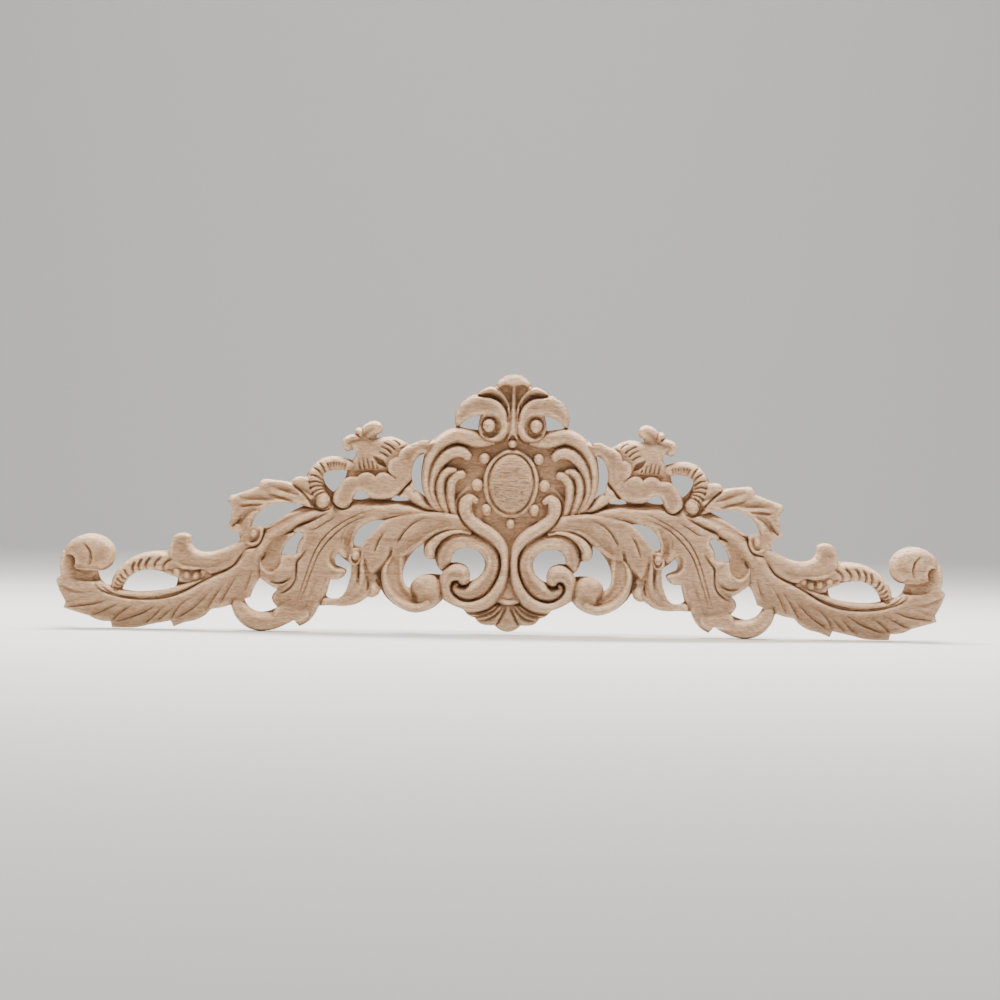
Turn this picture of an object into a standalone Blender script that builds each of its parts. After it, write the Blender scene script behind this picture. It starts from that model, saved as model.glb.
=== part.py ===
"""Carved wood applique: a pierced relief of scrolls and leaves, carved from one board.

Frame: +X along the board, +Z up, the carving faces -Y. The flat back lies in the plane y = 0,
and the origin is on it, behind the middle of the cabochon. Lengths in the drawing of the carving
are millimetres from that point: x to the right, z up, heights out from the back. One half is
drawn, and each hand gets its own length from it.
"""
import math

import bmesh
import bpy
import numpy as np

MM = 0.001
NAME = "carved_applique"
PITCH = 1.1                      # grid of the carved face, mm
GROUND = 5.0                     # thinnest wood between the forms, mm
WALL = 7.0                       # how steeply a form's side falls, mm down per mm out
EASE = 1.35                      # how much further in than drawn a blade's edge starts to round over
REACH = (0, -105, 306, 78)       # half board: lowest x and z, highest x and z, mm
RIGHT_SCALE = 0.982              # the right half is a little shorter than the left
LEFT_SCALE = 1.018
LEAN = 0.0105                    # the middle leans this much to the right going up
TRIANGLES = 9400
WOOD = (0.62, 0.44, 0.31, 1.0)   # bare pale wood

# The outer edge of the right half, from its top clockwise, in mm from the middle of the cabochon.
# A row is (x, z) where the line runs smoothly, and (x, z, 0) at a corner.
CREST_EDGE = [(0, 74.2), (6, 73), (10, 69.8), (12, 66.6, 0), (18, 65.2), (24.8, 60.5, 0), (31, 57.8),
              (36, 53), (38.7, 46), (37.9, 38.1, 0)]
FRAME_EDGE = [(46, 35), (54.5, 28.2, 0), (60, 28.8), (64, 27.2), (68, 25.3, 0)]
FLOWER_EDGE = [(73, 28.3), (80, 30.9), (86, 30.6), (90.8, 29.8, 0)]
CROWN_EDGE = [(90.6, 32), (87.7, 33.6), (86.8, 37), (89, 40.6), (93, 41.6), (97, 39.6),
              (100.5, 36.4, 0), (103, 37), (105.2, 34.8), (105, 32.1, 0), (109, 31.6), (112.8, 28),
              (112.6, 23), (110.3, 20.6), (107, 21.6), (104, 22.6, 0), (104, 18), (106, 14.4, 0)]
RING_EDGE = [(112, 16.3), (120, 17.1), (127, 15.4), (132.5, 10.6), (136.2, 5), (137, 2.3, 0)]
WING_EDGE = [(141, 3), (144.5, 1.4), (146.2, -1.2, 0), (151, -0.4), (158, 0.4), (165.5, 0.4),
             (168, -4.2, 0), (175, -6.9), (182, -9.3), (186.5, -10.7), (188.2, -13.5),
             (184.8, -18.6, 0), (186, -23.5), (186, -27.2, 0), (187.8, -31.8), (185.5, -34.2),
             (181.6, -34.6, 0)]
KNOB_EDGE = [(179, -41, 0), (186, -44.8), (195, -48.3), (203, -49.3), (209, -47.6), (212.2, -43),
             (212.4, -38.6), (217, -36.6), (222, -38.2), (225, -43.5), (225.3, -49, 0)]
HORN_EDGE = [(232, -48.9), (241, -49.8), (250, -53), (258, -59.3), (263, -66.5), (265.2, -72.6, 0)]
BALL_EDGE = [(269, -72), (272.7, -68), (274.5, -63.1, 0), (269, -62.2), (264.5, -58.3), (262.7, -52),
             (264, -46), (269.5, -40.5), (278.5, -37.9), (287, -40.4), (294, -46), (297.4, -53),
             (298.3, -60), (297.5, -66.6, 0)]
END_TIPS = [(300.3, -69.8), (299, -75), (296.5, -80.5), (294.6, -84.2, 0), (295.9, -88.6, 0),
            (289, -90.7), (278.6, -93.6, 0), (272, -96.6), (264.2, -97.3, 0)]
MIDDLE_TIPS = [(263.2, -101.3, 0), (253, -101.4), (246, -100.9), (238, -99), (224, -96.1, 0)]
NEAR_TIPS = [(222.3, -100.2, 0), (215, -97.2), (207, -95.2), (201.5, -91.8), (198, -88.3), (191, -86.8),
             (184.6, -84.8, 0)]
LOOP_EDGE = [(182.3, -91.3), (177.3, -97.4), (171, -100.9), (164.5, -102.1), (156, -101), (148, -97.7),
             (141.8, -94.2, 0)]
LEAF_EDGE = [(138.8, -98.6, 0), (133.5, -95.8), (129.3, -91), (126.3, -84.6, 0), (118, -83.9),
             (109, -84.3)]
ROOT_EDGE = [(101, -82.7), (93.4, -77.9, 0), (90.5, -78.2), (87.4, -76.8), (85.2, -72.3, 0)]
SCROLL_EDGE = [(82, -77.4), (75.5, -83.3), (68, -87), (61.8, -88.2), (54, -86.6), (48, -83.3),
               (43.6, -78.7, 0)]
FAN_EDGE = [(37, -82.3), (29.8, -85.1, 0), (27, -88.8), (22, -91, 0), (18.5, -94.7), (13, -95.9),
            (8.8, -95.8, 0), (5.2, -98.8), (0, -100.2)]
OUTER = (CREST_EDGE + FRAME_EDGE + FLOWER_EDGE + CROWN_EDGE + RING_EDGE + WING_EDGE + KNOB_EDGE
         + HORN_EDGE + BALL_EDGE + END_TIPS + MIDDLE_TIPS + NEAR_TIPS + LOOP_EDGE + LEAF_EDGE
         + ROOT_EDGE + SCROLL_EDGE + FAN_EDGE)

# The openings of the right half, by the same rule.
HOLES = {
    "crest": [(21.8, 46.4, 0), (28, 45), (33, 41.8), (35.8, 38.9, 0), (33, 37.8), (23.2, 36.6, 0),
              (22.9, 41.5)],
    "frame": [(58.4, 20, 0), (62.8, 17.5), (65.8, 12), (66.8, 5.5), (66, 1.2, 0), (64.8, -4.4, 0),
              (60.5, -6.8), (56.8, -9.8, 0), (59.6, -3), (60.4, 6), (59.6, 14)],
    "slot": [(68.7, -10.5, 0), (73, -10.1), (75.6, -9, 0), (78.5, -9.9), (80, -11.8, 0), (76, -12.4),
             (68, -11.9, 0)],
    "arch": [(94.2, -10.6, 0), (97, -7.6), (100.6, -6.1), (103.4, -7.8), (105.6, -11.6, 0),
             (100, -11.9)],
    "ring": [(109.7, 7.4, 0), (116, 7.9), (121.6, 7), (125.3, 4.6), (125.6, 2.4), (123, -3),
             (118.7, -7, 0), (114.5, -3.5), (111.3, 2)],
    "wing": [(137.8, -16.6, 0), (145, -15.6), (153, -15.6), (160, -17.2), (166.5, -21), (170.5, -25.8),
             (173, -31.3, 0), (168.5, -30.8), (163.6, -32.4, 0), (155.5, -27.2), (146, -20.9)],
    "notch": [(136.9, -36.1, 0), (140.9, -34.6, 0), (145.8, -38.3), (150, -44), (152.3, -50.2, 0),
              (147, -49.8), (142.4, -49.6, 0), (140.8, -42.2)],
    "slant": [(83.6, -25.8, 0), (90, -26.1), (96.5, -28.7), (101, -32.6), (103.8, -38), (104.1, -42.2),
              (101.6, -43.8), (98.9, -42.9), (93, -36.2)],
    "hook": [(114.3, -48.6, 0), (116.4, -52), (115.6, -56.3), (111.8, -58), (108.6, -60.2),
             (110.2, -64.3), (113.8, -66.3), (119.1, -66.4, 0), (120.2, -71.5), (121.7, -77.6, 0),
             (118.5, -79.4), (113.5, -79.2), (109.3, -75.6), (106.6, -68.6), (105.1, -61),
             (105.3, -55.6, 0), (110, -52.8)],
    "comma": [(57.2, -41, 0), (62.5, -45.2), (67.5, -51.4), (70.3, -58.6), (70.7, -64.5), (69.3, -68.8),
              (65.8, -71.6, 0), (64.7, -67.8), (61, -64.2), (55.5, -61.9), (45, -62.1, 0),
              (44.2, -60, 0), (47.2, -57.2), (49.6, -51.5, 0), (53.2, -51.7), (56.5, -49.8),
              (57.4, -46)],
    "volute": [(38.9, -53.8, 0), (33.5, -53.7), (28.6, -55.9), (26.2, -60.4), (26.1, -66.4, 0),
               (21, -63.6), (17.4, -59.4), (16.3, -54.6), (18, -49.4), (22.4, -45.5), (28.6, -43.9),
               (34.6, -45.2), (38.1, -49)],
    "fork": [(153.8, -73.9, 0), (160, -70.2), (165.8, -65.8, 0), (169.4, -71.8), (172.3, -79.6, 0),
             (176.3, -80.9, 0), (173, -85.8), (169, -88.3), (164.6, -89.3), (159, -88.2),
             (153.6, -85.8, 0), (157.3, -80.6), (156.6, -76.8)],
    "horn": [(220.6, -67.4, 0), (227, -64.4), (235, -62.4), (243.5, -62.2), (250.5, -65), (255.3, -70),
             (257.7, -75.5, 0), (249, -76.6), (238, -76.3), (229, -75.1), (221.8, -73.3, 0)],
}


def spline(rows, step=0.7):
    """A smooth curve through the rows, read every step mm; a row's first two numbers are its place.

    Each stretch is a cubic, and its slope at a row mixes the two chords that meet there.
    """
    p = np.asarray(rows, float)
    gap = np.maximum(np.hypot(*np.diff(p[:, :2], axis=0).T), 1e-6)
    count = max(2, int(np.ceil(gap.sum() / step)) + 1)
    if len(p) == 2:
        return p[0] + np.linspace(0, 1, count)[:, None] * (p[1] - p[0])
    gap = np.sqrt(gap)
    knot = np.concatenate([[0], np.cumsum(gap)])
    slope = np.diff(p, axis=0) / gap[:, None]
    bend = np.empty_like(p)
    share = (gap[:-1] / (gap[:-1] + gap[1:]))[:, None]
    bend[1:-1] = slope[:-1] * (1 - share) + slope[1:] * share
    bend[0] = 1.5 * slope[0] - 0.5 * bend[1]
    bend[-1] = 1.5 * slope[-1] - 0.5 * bend[-2]
    at = np.linspace(0, knot[-1], count)
    i = np.clip(np.searchsorted(knot, at, side="right") - 1, 0, len(gap) - 1)
    t = ((at - knot[i]) / gap[i])[:, None]
    g = gap[i][:, None]
    return ((2 * t**3 - 3 * t**2 + 1) * p[i] + (t**3 - 2 * t**2 + t) * g * bend[i]
            + (3 * t**2 - 2 * t**3) * p[i + 1] + (t**3 - t**2) * g * bend[i + 1])


def outline(rows, step=0.8, closed=True):
    """A line through the rows: smooth at each (x, z), with a corner at each (x, z, 0)."""
    rows = list(rows)
    if closed:
        first = next((i for i, r in enumerate(rows) if len(r) == 3), 0)
        rows = rows[first:] + rows[:first + 1]
    cuts = [i for i, r in enumerate(rows) if len(r) == 3]
    if not cuts or cuts[0] != 0:
        cuts = [0] + cuts
    if cuts[-1] != len(rows) - 1:
        cuts.append(len(rows) - 1)
    pieces = [spline([r[:2] for r in rows[a:b + 1]], step)[:-1] for a, b in zip(cuts, cuts[1:])]
    if not closed:
        pieces.append(np.array([rows[-1][:2]]))
    return np.concatenate(pieces)


def nearest(path, x, z):
    """For each point: the distance to the path's closest straight piece, which side it is on, how far
    along that is from 0 to 1, and the path's other columns there."""
    a, b = path[:-1], path[1:]
    ab = b[:, :2] - a[:, :2]
    size = np.maximum((ab**2).sum(1), 1e-12)
    best = np.full(x.shape, 1e18)
    seg = np.zeros(x.shape, np.int32)
    share = np.zeros(x.shape)
    for i in range(len(ab)):
        px, pz = x - a[i, 0], z - a[i, 1]
        t = np.clip((px * ab[i, 0] + pz * ab[i, 1]) / size[i], 0, 1)
        d = (px - t * ab[i, 0])**2 + (pz - t * ab[i, 1])**2
        better = d < best
        best = np.where(better, d, best)
        seg = np.where(better, i, seg)
        share = np.where(better, t, share)
    px, pz = x - a[seg, 0], z - a[seg, 1]
    side = np.sign(ab[seg, 0] * pz - ab[seg, 1] * px)
    along = (seg + share) / len(ab)
    more = [a[seg, k] + share * (b[seg, k] - a[seg, k]) for k in range(2, path.shape[1])]
    return np.sqrt(best), side, along, more


def inside(path, x, z):
    """True where a point lies within the closed path, by counting crossings."""
    odd = np.zeros(x.shape, bool)
    nxt = np.roll(path, -1, axis=0)
    for (ax, az), (bx, bz) in zip(path[:, :2], nxt[:, :2]):
        if az == bz:
            continue
        cross = ((az > z) != (bz > z)) & (x < (bx - ax) * (z - az) / (bz - az) + ax)
        odd ^= cross
    return odd


def signed(path, x, z):
    """Distance to the closed path, negative within."""
    ring = np.concatenate([path[:, :2], path[:1, :2]])
    d, _, _, _ = nearest(ring, x, z)
    return np.where(inside(path, x, z), -d, d)


def soft(u, *levels):
    """Levels set evenly from u = -1 to 1, joined by smooth steps, 3 t squared less 2 t cubed."""
    v = np.asarray(levels, float)
    at = np.clip((u + 1) / 2, 0, 1) * (len(v) - 1)
    i = np.minimum(at.astype(int), len(v) - 2)
    t = at - i
    t = t * t * (3 - 2 * t)
    return v[i] + (v[i + 1] - v[i]) * t


def round_top(u):
    """The section of a half round, for u from -1 to 1."""
    return np.sqrt(np.clip(1 - u * u, 0, 1))


def stretched(spots, x, z):
    """Heights of a thin sheet bent to pass near the spots (x, z, height).

    A tilted plane, and for each spot a share of q log q, where q is the squared distance to it.
    """
    s = np.asarray(spots, float)
    mid = s[:, :2].mean(0)
    s = s - (*mid, 0)
    x, z = x - mid[0], z - mid[1]

    def pull(dx, dz):
        q = dx * dx + dz * dz
        return q * np.log(q + 1e-6)

    count = len(s)
    push = pull(s[:, None, 0] - s[:, 0], s[:, None, 1] - s[:, 1]) + np.eye(count) * 30
    plane = np.column_stack([np.ones(count), s[:, :2] * 0.1])
    full = np.block([[push, plane], [plane.T, np.zeros((3, 3))]])
    share = np.linalg.lstsq(full, np.append(s[:, 2], [0, 0, 0]), rcond=1e-9)[0]
    body = share[count] + 0.1 * (share[count + 1] * x + share[count + 2] * z)
    for (sx, sz, _), k in zip(s, share):
        body += k * pull(x - sx, z - sz)
    return np.clip(body, s[:, 2].min() - 0.5, s[:, 2].max() + 0.5)


def blurred(grid, reach):
    """A running mean along both sides of the grid, three times over, reaching that many cells."""
    size = 2 * max(1, round(reach)) + 1
    for _ in range(6):
        grid = grid.T
        total = np.pad(grid, ((size // 2 + 1, size // 2), (0, 0)), mode="edge").cumsum(0)
        grid = (total[size:] - total[:-size]) / size
    return grid


class Relief:
    """Heights over one half of the board, on a grid of the given pitch."""

    def __init__(self, x0, z0, x1, z1, pitch):
        self.pitch, self.x0, self.z0 = pitch, x0, z0
        self.xs = np.arange(x0, x1 + pitch / 2, pitch)
        self.zs = np.arange(z0, z1 + pitch / 2, pitch)
        self.x, self.z = np.meshgrid(self.xs, self.zs)
        self.top = np.full(self.x.shape, GROUND)

    def window(self, path, margin):
        """The part of the grid within the margin of the path."""
        lo, hi = path[:, :2].min(0) - margin, path[:, :2].max(0) + margin
        i0 = int(np.clip((lo[0] - self.x0) / self.pitch, 0, len(self.xs) - 1))
        i1 = int(np.clip((hi[0] - self.x0) / self.pitch + 2, 1, len(self.xs)))
        k0 = int(np.clip((lo[1] - self.z0) / self.pitch, 0, len(self.zs) - 1))
        k1 = int(np.clip((hi[1] - self.z0) / self.pitch + 2, 1, len(self.zs)))
        return np.s_[k0:k1, i0:i1]

    def raise_to(self, at, height, blend=0.0):
        """Adds a form: the higher of the two stands. Within blend mm of each other the crease is filled,
        by the gap squared over four times blend."""
        old = self.top[at]
        gap = np.maximum(blend - np.abs(old - height), 0)
        self.top[at] = np.maximum(old, height) + (gap * gap / (4 * blend) if blend else 0)

    def roll(self, *rows, foot=5.0, section=round_top, blend=0.0):
        """A rounded band. Rows are x, z, half width, crest height.

        Height is foot plus the rest of the crest times section(distance / half width), and beyond
        the half width it falls off steeply.
        """
        path = spline(rows)
        at = self.window(path, path[:, 2].max() + 2)
        d, side, _, (w, h) = nearest(path, self.x[at], self.z[at])
        w = np.maximum(w, 0.05)
        u = side * d / w
        f = np.minimum(foot, h)
        body = f + (h - f) * section(u)
        self.raise_to(at, np.where(d <= w, body, body - (d - w) * WALL), blend)

    def dome(self, x, z, rx, rz, height, foot=5.0, turn=0.0, power=0.5, blend=0.0):
        """A bead or ball on an ellipse: it rises from foot by 1 less u squared, to the given power."""
        at = self.window(np.array([[x, z]]), max(rx, rz) + 2)
        c, s = np.cos(np.radians(turn)), np.sin(np.radians(turn))
        px, pz = self.x[at] - x, self.z[at] - z
        u = np.hypot((px * c + pz * s) / rx, (pz * c - px * s) / rz)
        body = foot + (height - foot) * np.clip(1 - u * u, 0, 1)**power
        self.raise_to(at, body - np.maximum(u - 1, 0) * min(rx, rz) * WALL, blend)

    def plate(self, rows, spots, round_over=2.0, drop=1.5, blend=0.0):
        """A leaf blade: an outline, and heights at spots that its sheet passes near.

        Towards its edge it drops along a quarter of an ellipse, drop mm deep.
        """
        path = outline(rows)
        at = self.window(path, 2)
        d = signed(path, self.x[at], self.z[at])
        t = np.clip(1 + d / (EASE * round_over), 0, 1)
        body = stretched(spots, self.x[at], self.z[at]) - drop * (1 - np.sqrt(1 - t * t))
        self.raise_to(at, body - np.maximum(d, 0) * WALL, blend)

    def groove(self, *rows, sharp=1.0):
        """A cut along a line: depth times 1 less distance / half width, to the power sharp.

        Rows are x, z, half width, depth; it runs out at both ends.
        """
        path = spline(rows)
        at = self.window(path, path[:, 2].max() + 1)
        d, _, along, (w, h) = nearest(path, self.x[at], self.z[at])
        u = np.clip(d / np.maximum(w, 0.05), 0, 1)
        ends = np.clip(np.minimum(along, 1 - along) * 8, 0, 1)
        self.top[at] -= h * (1 - u)**sharp * ends

    def scoop(self, *rows):
        """A smooth hollow along a line: depth times the square of 1 less u squared.

        Rows are x, z, half width, depth, and u is distance / half width.
        """
        path = spline(rows)
        at = self.window(path, path[:, 2].max() + 1)
        d, _, _, (w, h) = nearest(path, self.x[at], self.z[at])
        u = np.clip(d / np.maximum(w, 0.05), 0, 1)
        self.top[at] -= h * (1 - u * u)**2

    def sink(self, *rows, wall=3.0):
        """Cuts down to a floor, with sides that rise wall mm per mm. Rows are x, z, half width, floor."""
        path = spline(rows) if len(rows) > 1 else np.array(rows, float)
        if len(path) == 1:
            path = np.concatenate([path, path + [0.01, 0, 0, 0]])
        at = self.window(path, path[:, 2].max() + 6)
        d, _, _, (w, h) = nearest(path, self.x[at], self.z[at])
        self.top[at] = np.minimum(self.top[at], h + np.maximum(d - w, 0) * wall)

    def vein(self, *rows, left=1.0, right=1.0):
        """A cut whose two sides rise over unlike widths, so one lobe lies over the next.

        Rows are x, z, depth; left and right are the reach to each side of the line's run, in mm.
        """
        path = spline(rows)
        at = self.window(path, max(left, right) + 1)
        d, side, along, (h,) = nearest(path, self.x[at], self.z[at])
        u = np.clip(d / np.where(side > 0, left, right), 0, 1)
        ends = np.clip(np.minimum(along, 1 - along) * 6, 0, 1)
        self.top[at] -= h * (1 - u)**1.7 * ends

    def bevel(self, *rows):
        """Rounds an edge off along a quarter of an ellipse. Rows along the edge: x, z, width, drop."""
        path = spline(rows)
        at = self.window(path, path[:, 2].max() + 1)
        d, _, _, (w, h) = nearest(path, self.x[at], self.z[at])
        t = np.clip(1 - d / np.maximum(w, 0.05), 0, 1)
        self.top[at] -= h * (1 - np.sqrt(1 - t * t))

    def deepen(self, share, reach):
        """Every form stands further out from what lies within reach mm of it, by that share."""
        highest = self.top.max()
        stands = self.top - blurred(self.top, reach / self.pitch)
        self.top = np.clip(self.top + share * stands, GROUND - 1, highest)


def cushion(u):
    """The section of a form with full, steep shoulders, for u from -1 to 1."""
    return np.clip(1 - np.abs(u)**3, 0, 1)**0.5


def section(*levels):
    """A section that stands at each level in turn, from one side to the other."""
    return lambda u: soft(u, *levels) * cushion(u)


def ground(r):
    """The low board that carries the middle, cut out beside the cartouche and under the branches."""
    r.plate([(0, 40), (30, 33), (50, 22), (56, 0), (45, -25), (20, -32), (5, -50), (6, -80), (0, -84),
             (-10, -84), (-10, 40)], [(0, 0, 7), (30, 0, 7), (0, -50, 8.5)], 1)
    r.plate([(8, -84), (30, -84), (60, -76), (86, -70), (96, -70), (96, -30), (60, -26), (20, -34)],
            [(50, -50, 6)], 1)


def crest(r):
    """The knob on top, its two thin stalks, and the horn that curls under into an eye with a pearl."""
    r.plate([(-4, 75), (6, 74), (11, 69), (12, 66), (9, 58), (3, 46), (-4, 46)], [(0, 72, 16),
                                                                                  (2, 52, 10)], 1, 1)
    r.sink((5.2, 64.6, 3.2, 9.6), (4.2, 61, 2.2, 9.2), (3, 56.6, 0.7, 9), wall=2.2)
    r.sink((2.6, 64, 1.2, 8.6), (2.4, 60, 0.8, 8.6), wall=2.4)
    r.plate([(-6, 76), (0, 76), (7, 74), (12, 68), (11, 63.8), (9.4, 65.8), (6.4, 67.6), (3, 67.4),
             (0, 66.4), (-3, 67.4), (-6, 67.6)], [(0, 70, 17.5), (8, 69, 16)], 1.2, 1.4)
    r.bevel((-6, 73.6, 5, 6), (0, 74.4, 5, 6), (6, 73, 4.6, 6), (10, 69.8, 3, 5), (12, 66.2, 2, 4))
    r.roll((0, 69, 1.5, 15.5), (0, 56, 1.7, 14.5), (0, 45, 2.6, 14.5), (0, 37, 4, 14.5),
           (0, 32.6, 4.4, 13), blend=1)
    r.roll((3.4, 36, 2.6, 13), (2.8, 44, 1.6, 13), (3.6, 51.6, 1.6, 13.8), (6.6, 57.4, 2.1, 15),
           (10.4, 61.2, 2.6, 16), (15, 63.2, 2.8, 16), (20, 61.8, 2.6, 16), (25, 58.6, 2, 15), foot=7)
    r.bevel((9.6, 65.4, 1.6, 3), (12.4, 66.8, 2.6, 4), (18, 65.2, 2.8, 5), (25, 60.4, 2.6, 5))
    r.sink((5, 52, 0.4, 10.6), (8.6, 56.6, 0.8, 9.4), (12, 58.8, 1.1, 9), (17, 59.8, 0.9, 9),
           (22, 58.9, 0.5, 10), wall=2.2)
    inner_edge = [(3.6, 37), (3.9, 44), (5.6, 50), (9.4, 54.8), (14.6, 57.4), (20.6, 58)]
    back = [(24.6, 58.4), (26, 61, 0), (32, 58.6), (37, 53.6), (39.6, 46)]
    under_edge = [(38.8, 38.3, 0), (36, 39.3), (31, 43.4), (26, 46), (20, 47, 0)]
    eye = [(21.4, 42), (22.6, 36.6), (21.6, 32.2), (17.6, 29.4), (12, 28.8), (7, 30.4), (4.6, 33)]
    r.plate(inner_edge + back + under_edge + eye, [(6, 45, 15.8), (14, 53, 16.6), (26, 53, 17.4),
                                                   (34, 50, 16.6), (36.6, 42, 14), (7, 35, 15.4),
                                                   (14, 31, 14.6), (20, 32, 14)], 1, 1.4)
    r.bevel((22, 59.6, 1, 2), (25, 60.4, 4, 6), (31, 57.8, 4.6, 7), (36, 53, 4.4, 7),
            (38.7, 46, 3.2, 6), (38, 40, 2, 4))
    r.bevel((4, 42, 2, 3), (5.4, 49.6, 2.2, 3), (9.4, 54.8, 2.2, 3.4), (14.6, 57.4, 2, 3),
            (20.6, 58, 1.4, 2))
    r.bevel((4.4, 33.4, 2.4, 4), (7, 30.4, 2.4, 4), (12, 28.8, 2.4, 4), (17.6, 29.4, 2.4, 4),
            (21.6, 32.2, 1.6, 3), (22.4, 36, 1, 2))
    r.sink((15.8, 39.6, 4.9, 10.4), wall=1.6)
    r.sink((12.6, 38, 1.8, 10), (14.4, 35.4, 2.6, 9.6), (17.6, 34.8, 1.4, 10), wall=1.5)
    r.scoop((8.6, 45, 2.6, 0.4), (8, 38, 3, 1), (12, 32.4, 2, 0.5))
    r.dome(16, 39.8, 4.5, 4.9, 16.4, 10, power=0.42)
    r.sink((0, 31.6, 0.9, 7), (0, 30.4, 2.2, 7), wall=4)


def cabochon(r):
    """The oval boss in its rim, with a ring groove, and the pearls set around it."""
    r.dome(0, 0.3, 18.9, 23.2, 13, 8, power=0.22)
    turns = np.linspace(-0.2, np.pi + 0.2, 15)
    r.groove(*[(15.4 * np.sin(a), 0.4 + 20 * np.cos(a), 1.2, 2.1) for a in turns], sharp=0.8)
    r.dome(0, 0.5, 14.8, 19.5, 17.6, 11.2, power=0.5)
    for x, z, rx, rz, h in ((0, 27.4, 2.9, 2.9, 12.6), (18.4, 17.2, 3.6, 3.6, 13.4),
                            (22.7, -1, 3.9, 4.1, 13.4), (16.2, -17.5, 3.5, 4.1, 13),
                            (0, -26.5, 3.1, 3.7, 12.6)):
        r.dome(x, z, rx, rz, h, 8, power=0.45, blend=0.6)


def fingers(r):
    """Three finger curls that fan out inside the cartouche."""
    r.sink((31, 3, 2, 7.2), (33.4, -1, 3, 6.4), (35.6, -6, 2.6, 6.2), (37, -11, 1.4, 7), wall=1.6)
    full = section(0.86, 0.95, 1, 1, 0.95, 0.86)
    r.roll((33.4, 6.2, 3.3, 13), (37, 5, 3.8, 13.4), (40, 1, 3.8, 13.4), (40.7, -5, 3.7, 13),
           (40.3, -12, 3.5, 12.6), (38, -20, 2.6, 12), (36.6, -23, 2, 11), section=full, foot=6.4)
    r.roll((38.2, 8.8, 2.2, 13), (42, 8.4, 3.4, 14.4), (45.5, 5.6, 3.6, 14.8), (47.3, 0.6, 3.6, 14.8),
           (47.5, -5, 3.6, 14.4), (46.2, -12, 3.4, 14), (43, -19.6, 2.6, 12.6), section=full, foot=6.4)
    r.roll((29.8, 18.8, 3.3, 14), (32.4, 21, 4.1, 15), (37, 21.9, 4.6, 15.6), (42.6, 20, 4.8, 16),
           (47.4, 15.4, 4.7, 16), (51, 8.4, 4, 16), (52.8, 1.4, 3, 15.4), (53.2, -5, 2.6, 15),
           (51.2, -11.6, 2.6, 14), (46.8, -18.8, 2, 12.8), section=full, foot=6.4)


def cartouche(r):
    """The broad band that frames the middle, from the crest down to the waist."""
    full = section(0.86, 0.92, 1, 1, 0.97, 0.88, 0.72)
    r.roll((13, 28, 1.6, 10), (18, 28.6, 3.8, 12.4), (23.6, 30, 5.7, 14), (30, 31.6, 6.2, 15.6),
           (37, 32.8, 6, 16.6), (43.6, 30.2, 5.7, 17), (49.6, 25, 5, 17), (53.8, 18, 4.2, 17),
           (56.2, 10, 3.4, 16.6), (57, 3, 3, 16), (56.5, -4, 2.8, 15.6), (54, -11, 2.6, 14.6),
           (50, -16.8, 2.2, 13.4), (46, -20, 1.4, 11.6), section=full, foot=6)
    r.bevel((37.9, 38.4, 3.6, 4), (46, 35, 4.6, 6), (51.4, 31, 3.6, 5), (55.4, 27, 2, 2))


def s_scroll(r):
    """The long scroll from beside the cabochon to the foot, which ends in a rolled ball."""
    r.sink((22.6, -15.4, 2.4, 7.2), (21, -18.6, 2, 7.8), wall=1.4)
    r.roll((27, -2.6, 1.8, 7.2), (33, -7, 2.2, 8.2), (36.4, -12.4, 1.8, 8.6), (36.4, -19, 1.6, 8.8),
           blend=1)
    r.roll((23.6, -11.6, 2.3, 14), (26.2, -10.8, 3.9, 16), (29.4, -13.2, 5.1, 16.6),
           (30, -19, 5.2, 16.6), (27.2, -24.6, 5, 16.6), (21.5, -29.2, 5, 16.2), (14.4, -33.8, 5.2, 16),
           (8, -39.4, 4.9, 16), (4.2, -46, 3.8, 15.6), (3, -54, 3.2, 15.6), (3.6, -62, 3.5, 15.6),
           (6.8, -71, 4.6, 16), (12.6, -78.4, 5, 16), (19.8, -82.3, 4.6, 16), (28, -83, 3.9, 16),
           (35, -80.8, 4.2, 16), (40.4, -76, 4.6, 16.6), (42.4, -69.5, 4.5, 17.2),
           (40.6, -63.4, 5.4, 18.2), (36, -60.6, 6.3, 19), (32.4, -61.4, 6.6, 19),
           (30, -64.6, 4.6, 17.6), section=section(0.8, 0.88, 0.95, 0.96, 0.95, 0.97, 0.9), foot=6)
    r.groove((25.6, -8.6, 0.5, 0.4), (29.4, -9.4, 0.9, 1), (32.4, -13, 1, 1.2), (32.9, -18, 1, 0.8),
             (30.8, -24, 0.8, 0.5))


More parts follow.
